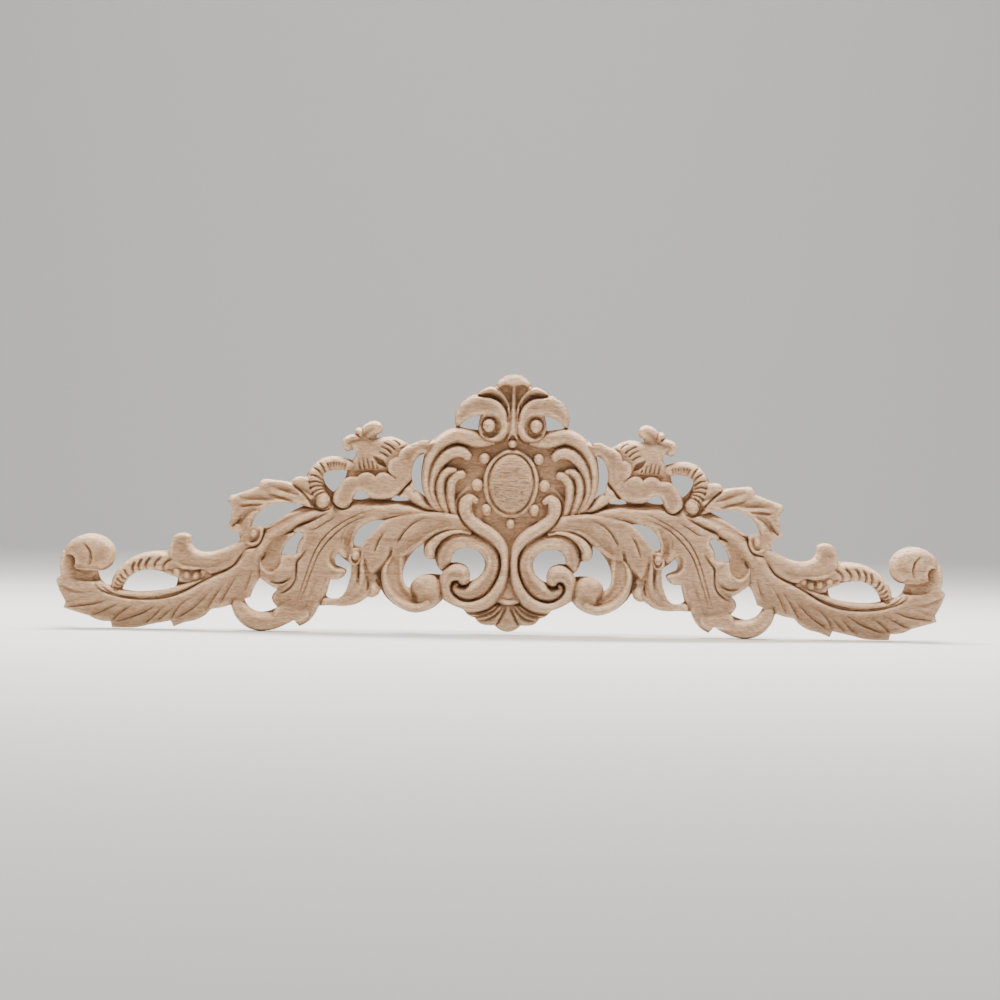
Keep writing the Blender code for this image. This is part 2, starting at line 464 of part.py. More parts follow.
def volutes(r):
    """The thick curl around the round opening, and the line that parts it from the scroll."""
    r.roll((44.6, -56.6, 3, 11.6), (43, -52, 5.4, 13), (42, -45.4, 6.4, 14), (37, -39.9, 5.8, 14.6),
           (29.5, -38.8, 5.4, 15), (21.4, -40.2, 5.4, 15), (14.4, -44.4, 5.8, 15), (11, -51, 5.6, 15),
           (11.2, -58, 5.7, 15), (14.6, -65.4, 6, 15), (20.8, -71.8, 6.4, 15.4), (27.6, -74.8, 4.9, 16),
           (33.2, -73.8, 3.9, 16), (36, -70.8, 2.5, 15.6), (35, -68.4, 1.6, 14),
           section=section(0.86, 0.84, 0.86, 0.9, 0.96, 1, 0.96), foot=4.5)
    r.sink((32, -69.4, 0.8, 12), (29, -69.2, 0.7, 11.4), (26.4, -67.4, 0.4, 10.6), wall=3)
    r.vein((31.4, -66.4, 0.6), (34.2, -65.8, 1.4), (37.4, -67.2, 1.6), (38.5, -70.6, 1.6),
           (36.6, -74.8, 1.6), (32.2, -78.2, 1.6), (26.6, -79.4, 1.8), (20, -78, 2.2), (14, -74.2, 2.3),
           (9.8, -68, 2.3), (7.2, -60.5, 2.3), (6.1, -54, 2.3), (6.7, -48.5, 2.3), (10, -42.6, 2.3),
           (15.8, -37.3, 2.3), (24, -32.4, 2.5), (30, -27.4, 2.5), (34, -22, 2.5), (34.8, -15, 2.4),
           (34, -10, 0.6), left=1.5, right=1.5)


def drop_lobe(r):
    """The narrow leaf that hangs over the thick curl."""
    r.roll((27, -33.6, 1.6, 13), (33, -32.6, 2, 13.6), (39, -33.4, 2.6, 14), (45.4, -36.4, 3.3, 14.6),
           (50.4, -40.6, 3.9, 15), (52.8, -45, 4, 15), (52.8, -47.8, 3.9, 15),
           section=section(0.86, 0.95, 1, 1, 0.95, 0.9), foot=6)
    r.vein((22.6, -36.8, 1), (28.4, -34.7, 3), (34, -34.4, 4.2), (40, -35.8, 4.6), (44.4, -38.8, 4.6),
           (47.8, -43.6, 4.6), (49.2, -49, 4), (48.8, -52.6, 2.6), left=1.2, right=2.2)


def second_scroll(r):
    """The scroll beside the foot: its band, its raised outer edge and its ball."""
    r.roll((74, -45, 4, 11), (75.6, -52, 6, 12.4), (76.6, -60, 7, 12.8), (75.8, -67, 7.6, 13),
           (72, -73.6, 7.2, 13), (66.6, -78, 6, 12.6), (62.6, -78.6, 4.2, 12),
           section=section(1, 0.97, 0.9, 0.84, 0.86, 0.96, 1), foot=5, blend=2.5)
    r.roll((78, -50, 1.4, 12), (81.6, -56, 2.6, 13.6), (82.6, -63, 3, 14.6), (80.6, -71, 3.2, 15.2),
           (75.8, -78, 3.4, 16), (69, -82.6, 3.6, 17), (61, -84.4, 4, 18), (54, -81, 5, 19), foot=5,
           section=section(0.84, 0.95, 1, 1, 0.9, 0.8), blend=1.5)
    r.scoop((74.6, -53, 2.4, 0.6), (74.4, -60, 3.6, 1.6), (74, -68, 3.6, 1.6), (70, -74, 3, 1),
            (66, -77, 2, 0.3))
    r.dome(54.4, -73.4, 10.6, 12.2, 19.8, 6, turn=-10, power=0.46, blend=1)
    r.dome(58.4, -68.6, 6.8, 6.2, 18.6, 6, turn=-30, power=0.46, blend=2)
    r.scoop((63.6, -73.6, 1.6, 1), (62, -76.6, 2.4, 4.4), (61.2, -78.6, 1.8, 2.4))
    r.bevel((43.6, -78.7, 2, 3), (48, -83.3, 3, 4), (54, -86.6, 3, 4.4), (61.8, -88.2, 2.6, 4),
            (68, -87, 2.4, 3), (75.5, -83.3, 2, 3), (82, -77.4, 1.6, 2.4))


def stem(r):
    """The branch that runs out from the middle and forks above the long leaf."""
    r.roll((46, -22.6, 1.8, 11), (56, -21, 3, 13.5), (66, -19.6, 5, 14.8), (78, -19.4, 6.4, 15.4),
           (92, -20, 7.2, 15.8), (105, -20.6, 7.6, 15.8), (117, -21.6, 6.6, 15.6), (126, -22.6, 5, 15),
           section=section(0.93, 0.98, 1, 1, 0.97, 0.84, 0.66), foot=5, blend=1)
    r.roll((122, -18.6, 4, 11), (134, -20.6, 3.4, 11.5), (142, -22.6, 3.6, 12), (152, -27.6, 4, 12.5),
           (160, -33, 4.4, 13), foot=6)
    r.roll((118, -19, 3, 13.6), (127, -21.4, 3.2, 15.2), (136, -24.6, 4, 15.8),
           (144.6, -28.6, 4.8, 15.8), (153, -33.6, 5.4, 15.6), (160.6, -39.6, 5.6, 15),
           (166.4, -47, 5.6, 14.6), (171.6, -56, 6, 13.8), (176, -66, 7, 12.4),
           section=section(0.84, 0.9, 0.96, 1, 0.95, 0.86, 0.78), foot=5, blend=1.5)


def inner_leaf(r):
    """The broad leaf next to the middle, with its folds."""
    along_scroll = [(26, -31), (30, -27), (34.4, -22, 0), (45, -20.2), (57, -19.9), (75, -23)]
    outer_lobe = [(84, -26), (92, -33), (99.2, -42), (100.6, -45.6), (98.8, -49.6), (96.2, -53),
                  (95, -57.4), (93.6, -61.4), (91, -62.8)]
    tip_lobe = [(88, -61), (84, -57.8), (81, -54.4), (79.2, -50)]
    lower_edge = [(77, -50.6), (73.6, -51), (69.6, -49.4), (64.6, -46), (57.4, -41), (50, -36),
                  (42, -32.8), (33, -32), (27, -34)]
    upper_heights = [(30, -29, 12.6), (38, -25, 14.6), (48, -22, 15.4), (60, -22.6, 16),
                     (72, -26, 16.2), (82, -30, 16), (90, -37, 15.4), (96, -45, 14), (60, -31, 15.4),
                     (52, -33, 13), (46, -29, 14)]
    lower_heights = [(62, -38, 12.6), (66, -43, 11.6), (70, -36, 14.6), (74, -44, 13.4), (75, -49, 12),
                     (80, -40, 15), (86, -48, 15), (84, -54, 13.8), (90, -56, 14), (91, -61, 12.4)]
    r.plate(along_scroll + outer_lobe + tip_lobe + lower_edge, upper_heights + lower_heights, 1.8, 2.6)
    r.scoop((40, -28.6, 1.6, 0.4), (50, -29.8, 3, 1), (58, -33.8, 4, 1.5), (65, -39.4, 4, 1.5),
            (71, -46, 2.6, 0.6))
    r.vein((54, -23, 0.4), (60.4, -25.4, 1.2), (65.4, -28.4, 1.8), (70, -33.2, 2.1), (73, -38, 2.1),
           (75, -42.4, 1.2), left=2.2, right=0.8)
    r.vein((82.6, -33, 0.4), (85, -36.4, 1.4), (87.2, -40.6, 2), (89, -45.4, 1.8), (90.2, -50.4, 0.6),
           left=2, right=0.8)
    r.vein((78.2, -43, 0.8), (78.7, -46.4, 2.8), (79.8, -51, 2.6), (82.4, -55.4, 2.4), (86.4, -59, 2.4),
           (91, -62.6, 1.6), left=2, right=1.3)
    r.vein((38, -31, 0.5), (47, -33.4, 2.4), (54, -38.2, 2.6), (58, -42, 1.4), left=1, right=1.4)


def under_leaf(r):
    """The thin leaf below, with a bead at its root."""
    outer_side = [(94, -46), (106, -46), (106.2, -60), (108.4, -70), (113, -77), (118, -79),
                  (124, -79.6), (124, -84.6)]
    lower_side = [(112, -84.8), (101, -83), (93.4, -78), (90, -78.6), (86.4, -76), (84.6, -70),
                  (88, -62)]
    r.plate(outer_side + lower_side, [(98, -50, 12), (103, -60, 11.4), (97, -68, 11), (104, -74, 11.6),
                                      (112, -81, 11.6), (121, -82, 11), (98, -77, 11.6), (90, -64, 10),
                                      (92.6, -68, 10.4)], 2, 2)
    r.roll((97, -44, 1.6, 14.4), (97.9, -50, 2.2, 14), (97.9, -57, 2.4, 13.2), (97.7, -64, 2.7, 12.8),
           (99, -71.6, 3.4, 12.6), (103.4, -77.6, 3.6, 12), (111, -81, 2.6, 11.4), foot=7, blend=2)
    r.roll((103, -53, 2, 12.2), (102.6, -62, 2.5, 12.6), (103.6, -70, 3, 12.2),
           (107.6, -76.4, 2.6, 11.4), foot=7, blend=2)
    r.vein((100.2, -52, 1), (100.1, -60, 2.4), (100.2, -66, 1.8), (100.8, -71, 0.4), left=1.1, right=1.1)
    r.vein((94.6, -62, 0.6), (93.8, -66, 2), (93.6, -71, 2.4), (95, -76, 0.8), left=1.2, right=1.2)
    r.roll((90.4, -66, 2, 8), (89.9, -71, 3.4, 12), (89.8, -74.6, 3.9, 13), (90.6, -76, 3.4, 12.6),
           foot=5, blend=1.5)
    r.sink((86.8, -66.4, 0.8, 7), (86, -69.6, 0.3, 7.4), wall=2.6)
    r.roll((106, -49.6, 1.3, 13.4), (105, -54.4, 1.6, 14), (101.4, -55.4, 1.5, 14),
           (99.2, -52.4, 1.3, 13.6), foot=7)
    r.dome(102.3, -50.2, 3.1, 3.6, 17.4, 8, power=0.45)


def long_leaf(r):
    """The long leaf that hangs to the lower edge, with a pair of midrib lines."""
    along_branch = [(84, -18), (100, -18), (118, -19), (130, -25), (143.4, -31.6), (144, -35)]
    far_side = [(139.4, -35), (137.6, -38), (140.4, -43), (142, -49.4), (148, -50), (152.6, -50.6),
                (154, -60), (150, -66), (155, -74), (158, -80)]
    tip = [(153.4, -86), (146, -90), (142, -94, 0), (139, -99.4, 0), (133, -96), (129, -90.8),
           (125.8, -84)]
    near_side = [(122, -76), (119, -66.2, 0), (112.6, -66.6)]
    hook = [(108.2, -61.6, 0), (112, -58.2), (115.8, -56), (116.4, -51.6), (114, -48, 0)]
    base = [(108, -51.4), (104, -47), (103.6, -39), (99, -30), (92, -26)]
    blade_heights = [(92, -21, 15), (104, -23, 15.6), (116, -24, 15.8), (128, -30, 15.6),
                     (138, -34, 14.4), (134, -42, 15), (118, -33, 15.6), (106, -32, 14),
                     (108, -40, 12.4), (108, -47, 12), (118, -46, 14.4), (121, -58, 13.4)]
    tip_heights = [(124, -70, 12.6), (130, -60, 15), (134, -72, 14.4), (131, -86, 12), (138, -97, 8.6),
                   (139, -86, 12), (146, -80, 12), (154, -84, 10), (112, -62, 11.6), (118, -63, 12.4),
                   (146, -60, 13)]
    r.plate(along_branch + far_side + tip + near_side + hook + base, blade_heights + tip_heights, 1.6,
            2.4)
    r.scoop((103.6, -31, 2.4, 0.8), (107, -37, 4, 2.2), (107.8, -44, 4, 2.4), (107.6, -49.6, 3, 1.4))
    r.vein((108.6, -31, 0.3), (111.4, -36, 1), (112.2, -41, 1), (111, -46, 0.4), left=0.8, right=2)
    r.scoop((109.8, -58.4, 1.6, 1.2), (113.6, -58.2, 2.6, 3.2), (117, -55.4, 2.8, 3.4),
            (118, -50.8, 2.4, 2.4), (116.6, -47.4, 1.6, 0.8))
    r.scoop((121, -66, 1.4, 0.5), (123, -74, 2.2, 1), (126, -82, 2, 0.4))
    r.vein((86, -18.6, 0.3), (96, -20, 0.9), (107, -25, 1.3), (113, -28.6, 1.4), (120, -34.2, 1.6),
           (125, -40.2, 1.6), (128.4, -46, 1.6), (131.4, -53, 1.4), (134.6, -63, 1.2), (138.6, -76, 1),
           (142.6, -89, 0.6), left=0.8, right=0.8)
    r.vein((88, -21.6, 0.3), (98, -23.8, 0.9), (106, -27.6, 1.4), (112, -31.8, 1.6), (117, -36.4, 1.7),
           (122, -42, 1.7), (126, -48, 1.6), (129, -55, 1.4), (132.4, -65, 1.2), (136.4, -77, 1),
           (139.4, -86, 0.4), left=0.8, right=0.8)
    r.vein((115, -24, 0.3), (120, -26.4, 1.2), (125, -29.8, 1.5), (129.4, -32.2, 1.3), (134, -33.2, 0.5),
           left=1, right=0.8)
    r.vein((132.6, -43.6, 0.6), (135.4, -47.4, 1.5), (138.4, -51.4, 2), (141, -54.4, 3),
           (141.6, -61, 2.6), (142, -67, 2.6), (144.6, -71.6, 2.6), (149, -75, 2.6),
           (153.6, -76.6, 1.6), left=1, right=1.6)
    r.vein((126, -64, 0.3), (129.6, -73, 0.9), (133, -82, 0.4), left=2, right=1)
    r.vein((132.4, -80, 0.3), (135.2, -88, 1), (137.6, -96, 0.8), left=2, right=0.8)
    r.vein((145, -80, 0.2), (149, -82.4, 0.7), (153, -84.6, 0.4), left=1.4, right=1)


def cupped_leaf(r):
    """The cupped leaf between the openings, with its turned-up rim."""
    r.plate([(143, -35), (148.8, -36), (153.6, -37.6), (158.6, -40.6), (161.6, -46), (163, -52),
             (165.6, -55), (164.4, -60), (160, -63.4), (155, -62.6), (152, -58), (151, -51),
             (147.6, -43), (144, -38.6)], [(146, -36.6, 14), (150, -41, 13), (155, -43, 12),
                                           (158.6, -48, 11), (154, -51, 11.4), (158, -57, 11),
                                           (162.6, -57, 11.6)], 1, 1.4)
    rim = [(142.4, -54), (144, -51.4), (149, -50.6), (152.2, -52), (152.4, -57.4), (155.6, -61.8),
           (159.4, -63), (163.4, -60.8), (165.6, -58)]
    underside = [(165.8, -65.4), (160.6, -69.6), (154, -73.4), (149, -72), (144.6, -68), (142.4, -61)]
    r.plate(rim + underside, [(146, -53, 12.6), (147, -60, 15), (151, -65, 15.4), (158, -66.6, 14.8),
                              (163.6, -64, 13.4), (148, -68.6, 13.4), (154, -71.6, 12.4)], 1.6, 2)
    r.roll((150.6, -51.4, 1, 13), (151.2, -56, 1.3, 14.4), (153.6, -60.6, 1.5, 15.6),
           (157.8, -63.2, 1.6, 15.8), (162.2, -62, 1.6, 15.4), (165, -58, 1.3, 14.4),
           (165.6, -54.6, 1, 13), foot=8, blend=0.8)
    r.vein((144.4, -64.8, 0.8), (147.4, -67.4, 2.2), (151.4, -69.2, 2.8), (156, -69, 2.2),
           (159.8, -67.6, 0.8), left=2, right=0.9)
    r.vein((165.4, -54.6, 2), (166.6, -57.4, 3.4), (166.4, -63, 3), (165.6, -66.6, 2), left=1,
           right=1.2)


def open_loop(r):
    """The open loop at the lower edge."""
    r.plate([(133, -80), (146, -84), (154, -86.4), (156, -93), (142, -97), (133, -93)],
            [(138, -86, 11.6), (150, -88.6, 11.6), (144, -94, 12.6)], 1.4, 1.4)
    r.roll((136, -88, 3.6, 10.6), (147, -92, 5, 13), (156.4, -95.2, 6, 14), (165.4, -95.9, 6.6, 14.6),
           (173, -92.8, 6.3, 14.2), (178.6, -86.2, 5.6, 12.6), (180.6, -79, 4, 10),
           section=lambda u: cushion(u) * (0.89 - 0.11 * u), foot=3.5)


def upper_leaf(r):
    """The leaf that reaches out over the branch, in three lobes."""
    first_lobe = [(124, -12), (134, 2), (137, 2.8), (141, 3.4), (144.6, 1.6)]
    second_lobe = [(146.3, -1.3, 0), (151, 0), (158, 0.8), (165.5, 0.7)]
    third_lobe = [(168.4, -4.2, 0), (175, -6.7), (182, -9), (187, -10.6), (188.6, -13.5)]
    tips = [(185, -18.6, 0), (186.4, -23.5), (186.2, -27.2, 0), (188.2, -31.8), (185.6, -34.6),
            (181.4, -35)]
    inner_side = [(178.6, -44), (170, -44), (172.4, -31), (169, -23), (161, -17), (150, -15.2),
                  (138, -16.4), (126, -20)]
    r.plate(first_lobe + second_lobe + third_lobe + tips + inner_side, [(128, -10, 12.5),
                                                                        (140, -3, 13.5), (155, -5, 14),
                                                                        (166, -4, 13.4),
                                                                        (172, -12, 13.6),
                                                                        (184, -16, 11.4),
                                                                        (178, -26, 12.4),
                                                                        (184, -32, 10), (175, -38, 12),
                                                                        (148, -13, 12.5)], 1.4, 1.6)
    r.bevel((136, 2.8, 3, 3), (141, 3.3, 3.4, 4.4), (144.6, 1.6, 3, 4), (146.3, -1.3, 2, 3))
    r.bevel((147, -0.8, 3, 3.6), (151, 0, 4, 5), (158, 0.8, 4.4, 5.6), (165.5, 0.7, 4, 5),
            (168.4, -4, 2, 3))
    r.bevel((168.4, -4.4, 2.6, 3), (175, -6.7, 4, 5), (182, -9, 4, 5), (187, -10.6, 3.4, 4),
            (188.6, -13.5, 2, 3))
    r.scoop((133, -9, 2, 1), (140, -4.6, 3, 2), (144.6, -2, 2, 1))
    r.scoop((142, -9, 2, 1), (150, -5.6, 3.4, 2.2), (160, -3.6, 3, 1.2))
    r.scoop((158, -13, 2, 1), (168, -11.6, 3.4, 2.4), (179, -12.4, 3.4, 1.6))
    r.scoop((168, -19.6, 2, 1), (175, -22, 3.4, 2.6), (180, -29, 2.6, 1.6))
    r.vein((143, -15, 0.6), (149, -12.2, 2.4), (156, -10.4, 2.6), (163, -8, 1), left=1.2, right=3.4)
    r.vein((163, -16.4, 0.6), (170, -16.3, 2.4), (176, -16.7, 2.4), (181, -17.2, 1), left=1.2, right=3)
    r.vein((178.4, -24, 0.6), (181.4, -28.6, 2.2), (185.6, -32.4, 1.2), left=2.4, right=0.9)
    r.vein((130, -17.6, 1), (134, -12.4, 3), (139, -7.4, 3), (144.6, -2.6, 2.4), (146, -1.4, 1), left=1,
           right=2.4)
    r.sink((131, -14.6, 1.3, 8.4), (129, -17, 0.9, 9), wall=2)


def small_volute(r):
    """The small spiral with a bead, where the upper leaf meets the branch."""
    r.plate([(163.6, -32.6), (168.4, -30.8), (173.4, -31), (176, -35), (179, -39.6), (178.6, -42.4),
             (173.6, -45), (168.6, -44.6), (165.4, -41), (163.8, -36.6)], [(165.6, -36, 12.4),
                                                                           (168, -43, 13),
                                                                           (173, -43.4, 13.4),
                                                                           (177, -40.4, 12.6),
                                                                           (174.4, -34, 12.6),
                                                                           (168, -32.4, 12.6)], 1.4,
            1.4)
    r.roll((165.2, -33.6, 1.6, 13), (165.6, -39, 1.7, 14), (168, -42.6, 1.7, 14.4),
           (172, -43.2, 1.8, 14.4), (175.6, -41.2, 2, 13.6), foot=8, blend=1)
    r.sink((167.7, -33.8, 0.3, 12.4), (167.5, -37.6, 0.5, 11.8), (168.6, -40.4, 0.6, 11.6),
           (171.4, -41, 0.4, 12.4), wall=3)
    r.dome(170.4, -36.4, 3.2, 3.6, 15.4, 9, power=0.45)
    r.vein((155.6, -30.6, 0.6), (160, -32.4, 2.2), (163.4, -34, 3), (164, -38.6, 3), (166.4, -43.4, 3),
           (170, -45.6, 3), (173.6, -46.2, 2.4), (176, -47.6, 1.4), left=0.9, right=1.2)


def knob_band(r):
    """The smooth band with a knob that starts the end of the branch."""
    top_edge = [(168, -44), (179, -40.6), (186, -44.4), (195, -47.9), (203, -48.9), (209, -47),
                (211.8, -42.6)]
    knob = [(212.2, -38), (217, -36), (222.6, -37.6), (226, -43.5), (226, -50), (226, -57)]
    low_edge = [(221.6, -58.8), (217, -60.6), (210, -61.4), (203.6, -60.6), (198, -63.6), (190, -61.4),
                (183.6, -57.8), (178, -51), (172, -46)]
    r.plate(top_edge + knob + low_edge, [(176, -45, 13.4), (182, -49.4, 15), (190, -54, 16),
                                         (200, -56.4, 16.8), (210, -56, 16.6), (218, -54, 15.6),
                                         (218, -46, 14.4), (218, -40.6, 16.4), (224, -50, 14.4),
                                         (196, -60, 14.4), (206, -60, 15.6), (186, -57, 14.6)], 1.2,
            1.4)
    r.bevel((178, -41, 4, 4), (186, -44.4, 6, 6), (195, -47.9, 7.4, 7), (203, -48.9, 7.4, 7),
            (209, -47, 5, 6), (211.8, -43.6, 2, 4))
    r.bevel((211.8, -43, 1.6, 3), (212.2, -38, 2.4, 5), (217, -36, 4.6, 7), (222.6, -37.6, 4, 6),
            (226, -43.5, 1.8, 3), (226, -50, 1.2, 2))
    r.scoop((190, -55, 2, 0.3), (198, -57.6, 2.4, 0.7), (207, -58, 2.4, 1), (215, -57.6, 2.2, 0.8),
            (220, -56.4, 1.6, 0.3))


def ribs(r, rows, spots, reach, deep, skew, half=0.9, middle=0.0):
    """Crescent cuts across a band, at shares of its length. Rows are the band's own."""
    path = spline(rows, 0.3)
    step = np.gradient(path[:, :2], axis=0)
    step /= np.hypot(*step.T)[:, None]
    across = np.stack([-step[:, 1], step[:, 0]], 1)
    for share in spots:
        k = int(share * (len(path) - 1))
        w = path[k, 2]
        q = np.linspace(*reach, 7)[:, None]
        place = path[k, :2] + across[k] * w * q + step[k] * skew * (q - middle)**2
        r.groove(*np.column_stack([place, np.full((7, 1), half), np.full((7, 1), deep)]), sharp=0.8)


def horn(r):
    """The arched horn with beads at its root and ribs across it."""
    r.plate([(197, -66), (200, -61), (226, -57), (228, -64), (219.6, -66.6), (218.6, -69), (211, -70)],
            [(200, -64, 11.6), (204, -63, 11.4), (210, -66, 11.4), (222, -61, 11.6), (216, -70, 12.4)],
            1, 1)
    rows = [(212, -60.6, 3, 12), (220, -58, 5, 14), (229, -55.8, 6.7, 14.6), (238, -55.6, 6.4, 14.6),
            (246, -57.6, 6, 14.2), (253, -61.8, 5.6, 13.8), (258.6, -67.4, 4.8, 13.2),
            (261.4, -73.4, 3.4, 12.8), (261.6, -79.6, 2.2, 12)]
    r.roll(*rows, foot=5, section=section(0.9, 0.95, 0.98, 1, 0.95))
    for x, z, rx, rz, turn in ((203, -62.4, 2.7, 3.2, 20), (207.9, -65, 3, 3.9, 15),
                               (214, -64.4, 3.4, 3.7, 0), (220.6, -62.2, 3.4, 3.8, -20)):
        r.dome(x, z, rx, rz, 14.6, 8, turn=turn, power=0.45)
    ribs(r, rows[1:], (0.165, 0.275, 0.385, 0.485, 0.57), (-1.25, 0.38), 2.6, -5.4, 1.2, middle=-0.62)
    ribs(r, rows[1:], (0.65, 0.72, 0.785, 0.845, 0.9, 0.945), (-1, 0.35), 2.4, -2.4, 1, middle=-0.4)


def end_leaf(r):
    """The long toothed leaf along the lower edge at the end, with its rim."""
    upper_edge = [(164, -46), (174, -46.6), (183, -58), (200, -66.6), (214, -75), (232, -80),
                  (252, -80.6), (266, -76.6), (272, -70), (273.6, -60)]
    end_side = [(290, -56), (297.4, -66.6), (300.7, -69.8, 0), (299.4, -75), (296.8, -80.5),
                (294.8, -84.2, 0)]
    first_tip = [(296.3, -88.8, 0), (289, -91), (278.6, -94, 0), (272, -96.9), (264.6, -97.6, 0)]
    second_tip = [(263.4, -101.7, 0), (253, -101.8), (246, -101.3), (238, -99.3), (224.2, -96.4, 0)]
    third_tip = [(222.4, -100.6, 0), (215, -97.6), (207, -95.5), (201.5, -92.1), (198, -88.6),
                 (191, -87.1), (184.6, -85, 0)]
    near_side = [(182, -80), (178, -82.4), (172, -81), (168.4, -73), (165, -66), (165.2, -56)]
    inner_heights = [(170, -55, 13.6), (180, -66, 14), (195, -74, 14), (215, -82, 13.8),
                     (240, -86, 13.8), (262, -84, 13.8), (276, -78, 14), (284, -68, 14.4),
                     (298, -72, 10)]
    edge_heights = [(292, -88, 9.4), (262, -98, 9), (240, -98, 9.4), (220, -97, 9.4), (200, -89, 10),
                    (186, -84, 10.4)]
    r.plate(upper_edge + end_side + first_tip + second_tip + third_tip + near_side,
            inner_heights + edge_heights, 1.4, 1.6)
    rim = [(198, -66, 1.2, 12), (207, -69.6, 2.2, 13.4), (215, -72.8, 2.6, 14), (224, -76, 2.8, 14.2),
           (236, -78.6, 2.6, 14.2), (247, -79, 2.4, 14.2), (257, -78, 2.2, 14), (263, -76.4, 2, 14),
           (268.4, -73.6, 1.9, 13.8), (272.6, -69.8, 1.7, 13.6), (274.8, -65.4, 1.3, 13)]
    r.roll(*rim, foot=5, section=section(0.84, 0.94, 1, 0.98, 0.94))
    r.vein((172, -47, 0.8), (178, -52, 2.4), (182, -57, 3), (189, -61.6, 3.2), (197, -65.4, 3.2),
           (207, -71, 3), (217, -76.7, 3), (229, -80.4, 3), (243, -81.4, 2.8), (257, -80.1, 2.8),
           (267, -77.4, 2.8), (273.4, -73, 2.6), (276, -66, 1.6), left=1, right=2)
    for line, fade in ((((170, -60, 0.4), (172.6, -68, 1.3), (176, -78, 0.9)), 2.4), (((180, -64, 0.4),
                                                                                       (186, -74, 1.4),
                                                                                       (191.8, -85.6, 1.2)),
                                                                                      3.4),
                       (((188, -69, 0.4), (195.6, -80, 1.6), (201.6, -91, 1.2)), 3.4),
                       (((196, -73, 0.4), (205.6, -84, 1.7), (213, -89.8, 1.7), (221, -94.6, 0.9)),
                        3.6), (((210, -79, 0.4), (218.6, -86, 1.6), (224, -95.6, 1.4)), 3),
                       (((219, -83.4, 0.3), (227, -91, 1.3), (234, -97.6, 0.7)), 2.6),
                       (((228, -85, 0.3), (235, -92.6, 1.3), (242, -98.6, 0.7)), 2.6),
                       (((232, -84, 0.4), (243, -91, 1.9), (252, -94.6, 1.9), (261, -97, 0.9)), 3.4),
                       (((248, -85, 0.4), (257.6, -91, 1.6), (263.6, -97, 1.4)), 2.8),
                       (((258, -84, 0.4), (269, -90, 1.7), (278, -94, 0.9)), 3), (((264, -81, 0.4),
                                                                                   (275, -85.4, 1.9),
                                                                                   (286, -87, 1.6),
                                                                                   (295, -88.2, 0.7)),
                                                                                  3), (((274, -77, 0.3),
                                                                                        (284, -77.4, 1.4),
                                                                                        (296, -72.4, 1.0)),
                                                                                       2.6),
                       (((276, -79, 0.3), (286, -82, 1.3), (295, -84.6, 0.9)), 2.4)):
        r.vein(*line, left=fade, right=0.9)


def end_bulb(r):
    """The ball at the end, and the neck that it rolls out of."""
    r.dome(279, -50.6, 17.2, 12.7, 20.2, 6, power=0.42)
    r.sink((292.6, -56.6, 4, 11), (293.2, -60.4, 4.2, 10.4), (290.6, -64, 3.2, 10),
           (284, -66.2, 3.2, 9.8), (272, -66.4, 3.2, 9), wall=6)
    under_ball = [(272, -62.6), (276, -62), (284, -62), (288.4, -60.4), (288, -56), (290.8, -52.4),
                  (296, -50), (299, -58), (298.6, -66)]
    leaf_side = [(301.4, -70), (298, -84), (280, -86), (266, -80), (273, -74), (276.4, -69)]
    r.plate(under_ball + leaf_side, [(292, -54.4, 13.2), (293.4, -60, 14), (287, -65, 11.6),
                                     (280, -65, 11), (292, -67, 14.4), (281, -71, 13.6),
                                     (290, -75, 14.4), (272, -77, 13.4), (297, -78, 11), (292, -83, 10),
                                     (280, -85, 10.6), (268, -81, 11.6)], 3, 3, blend=2)
    r.vein((280, -77.6, 0.3), (288, -76.6, 1.4), (294.6, -74, 1.4), (300, -71, 0.6), left=1, right=2.4)
    r.vein((284, -44.2, 0.6), (280.8, -45.8, 1.4), (278, -49, 2.2), (277, -54, 2), (278, -58, 1.4),
           (280, -60, 0.5), left=2.4, right=0.9)


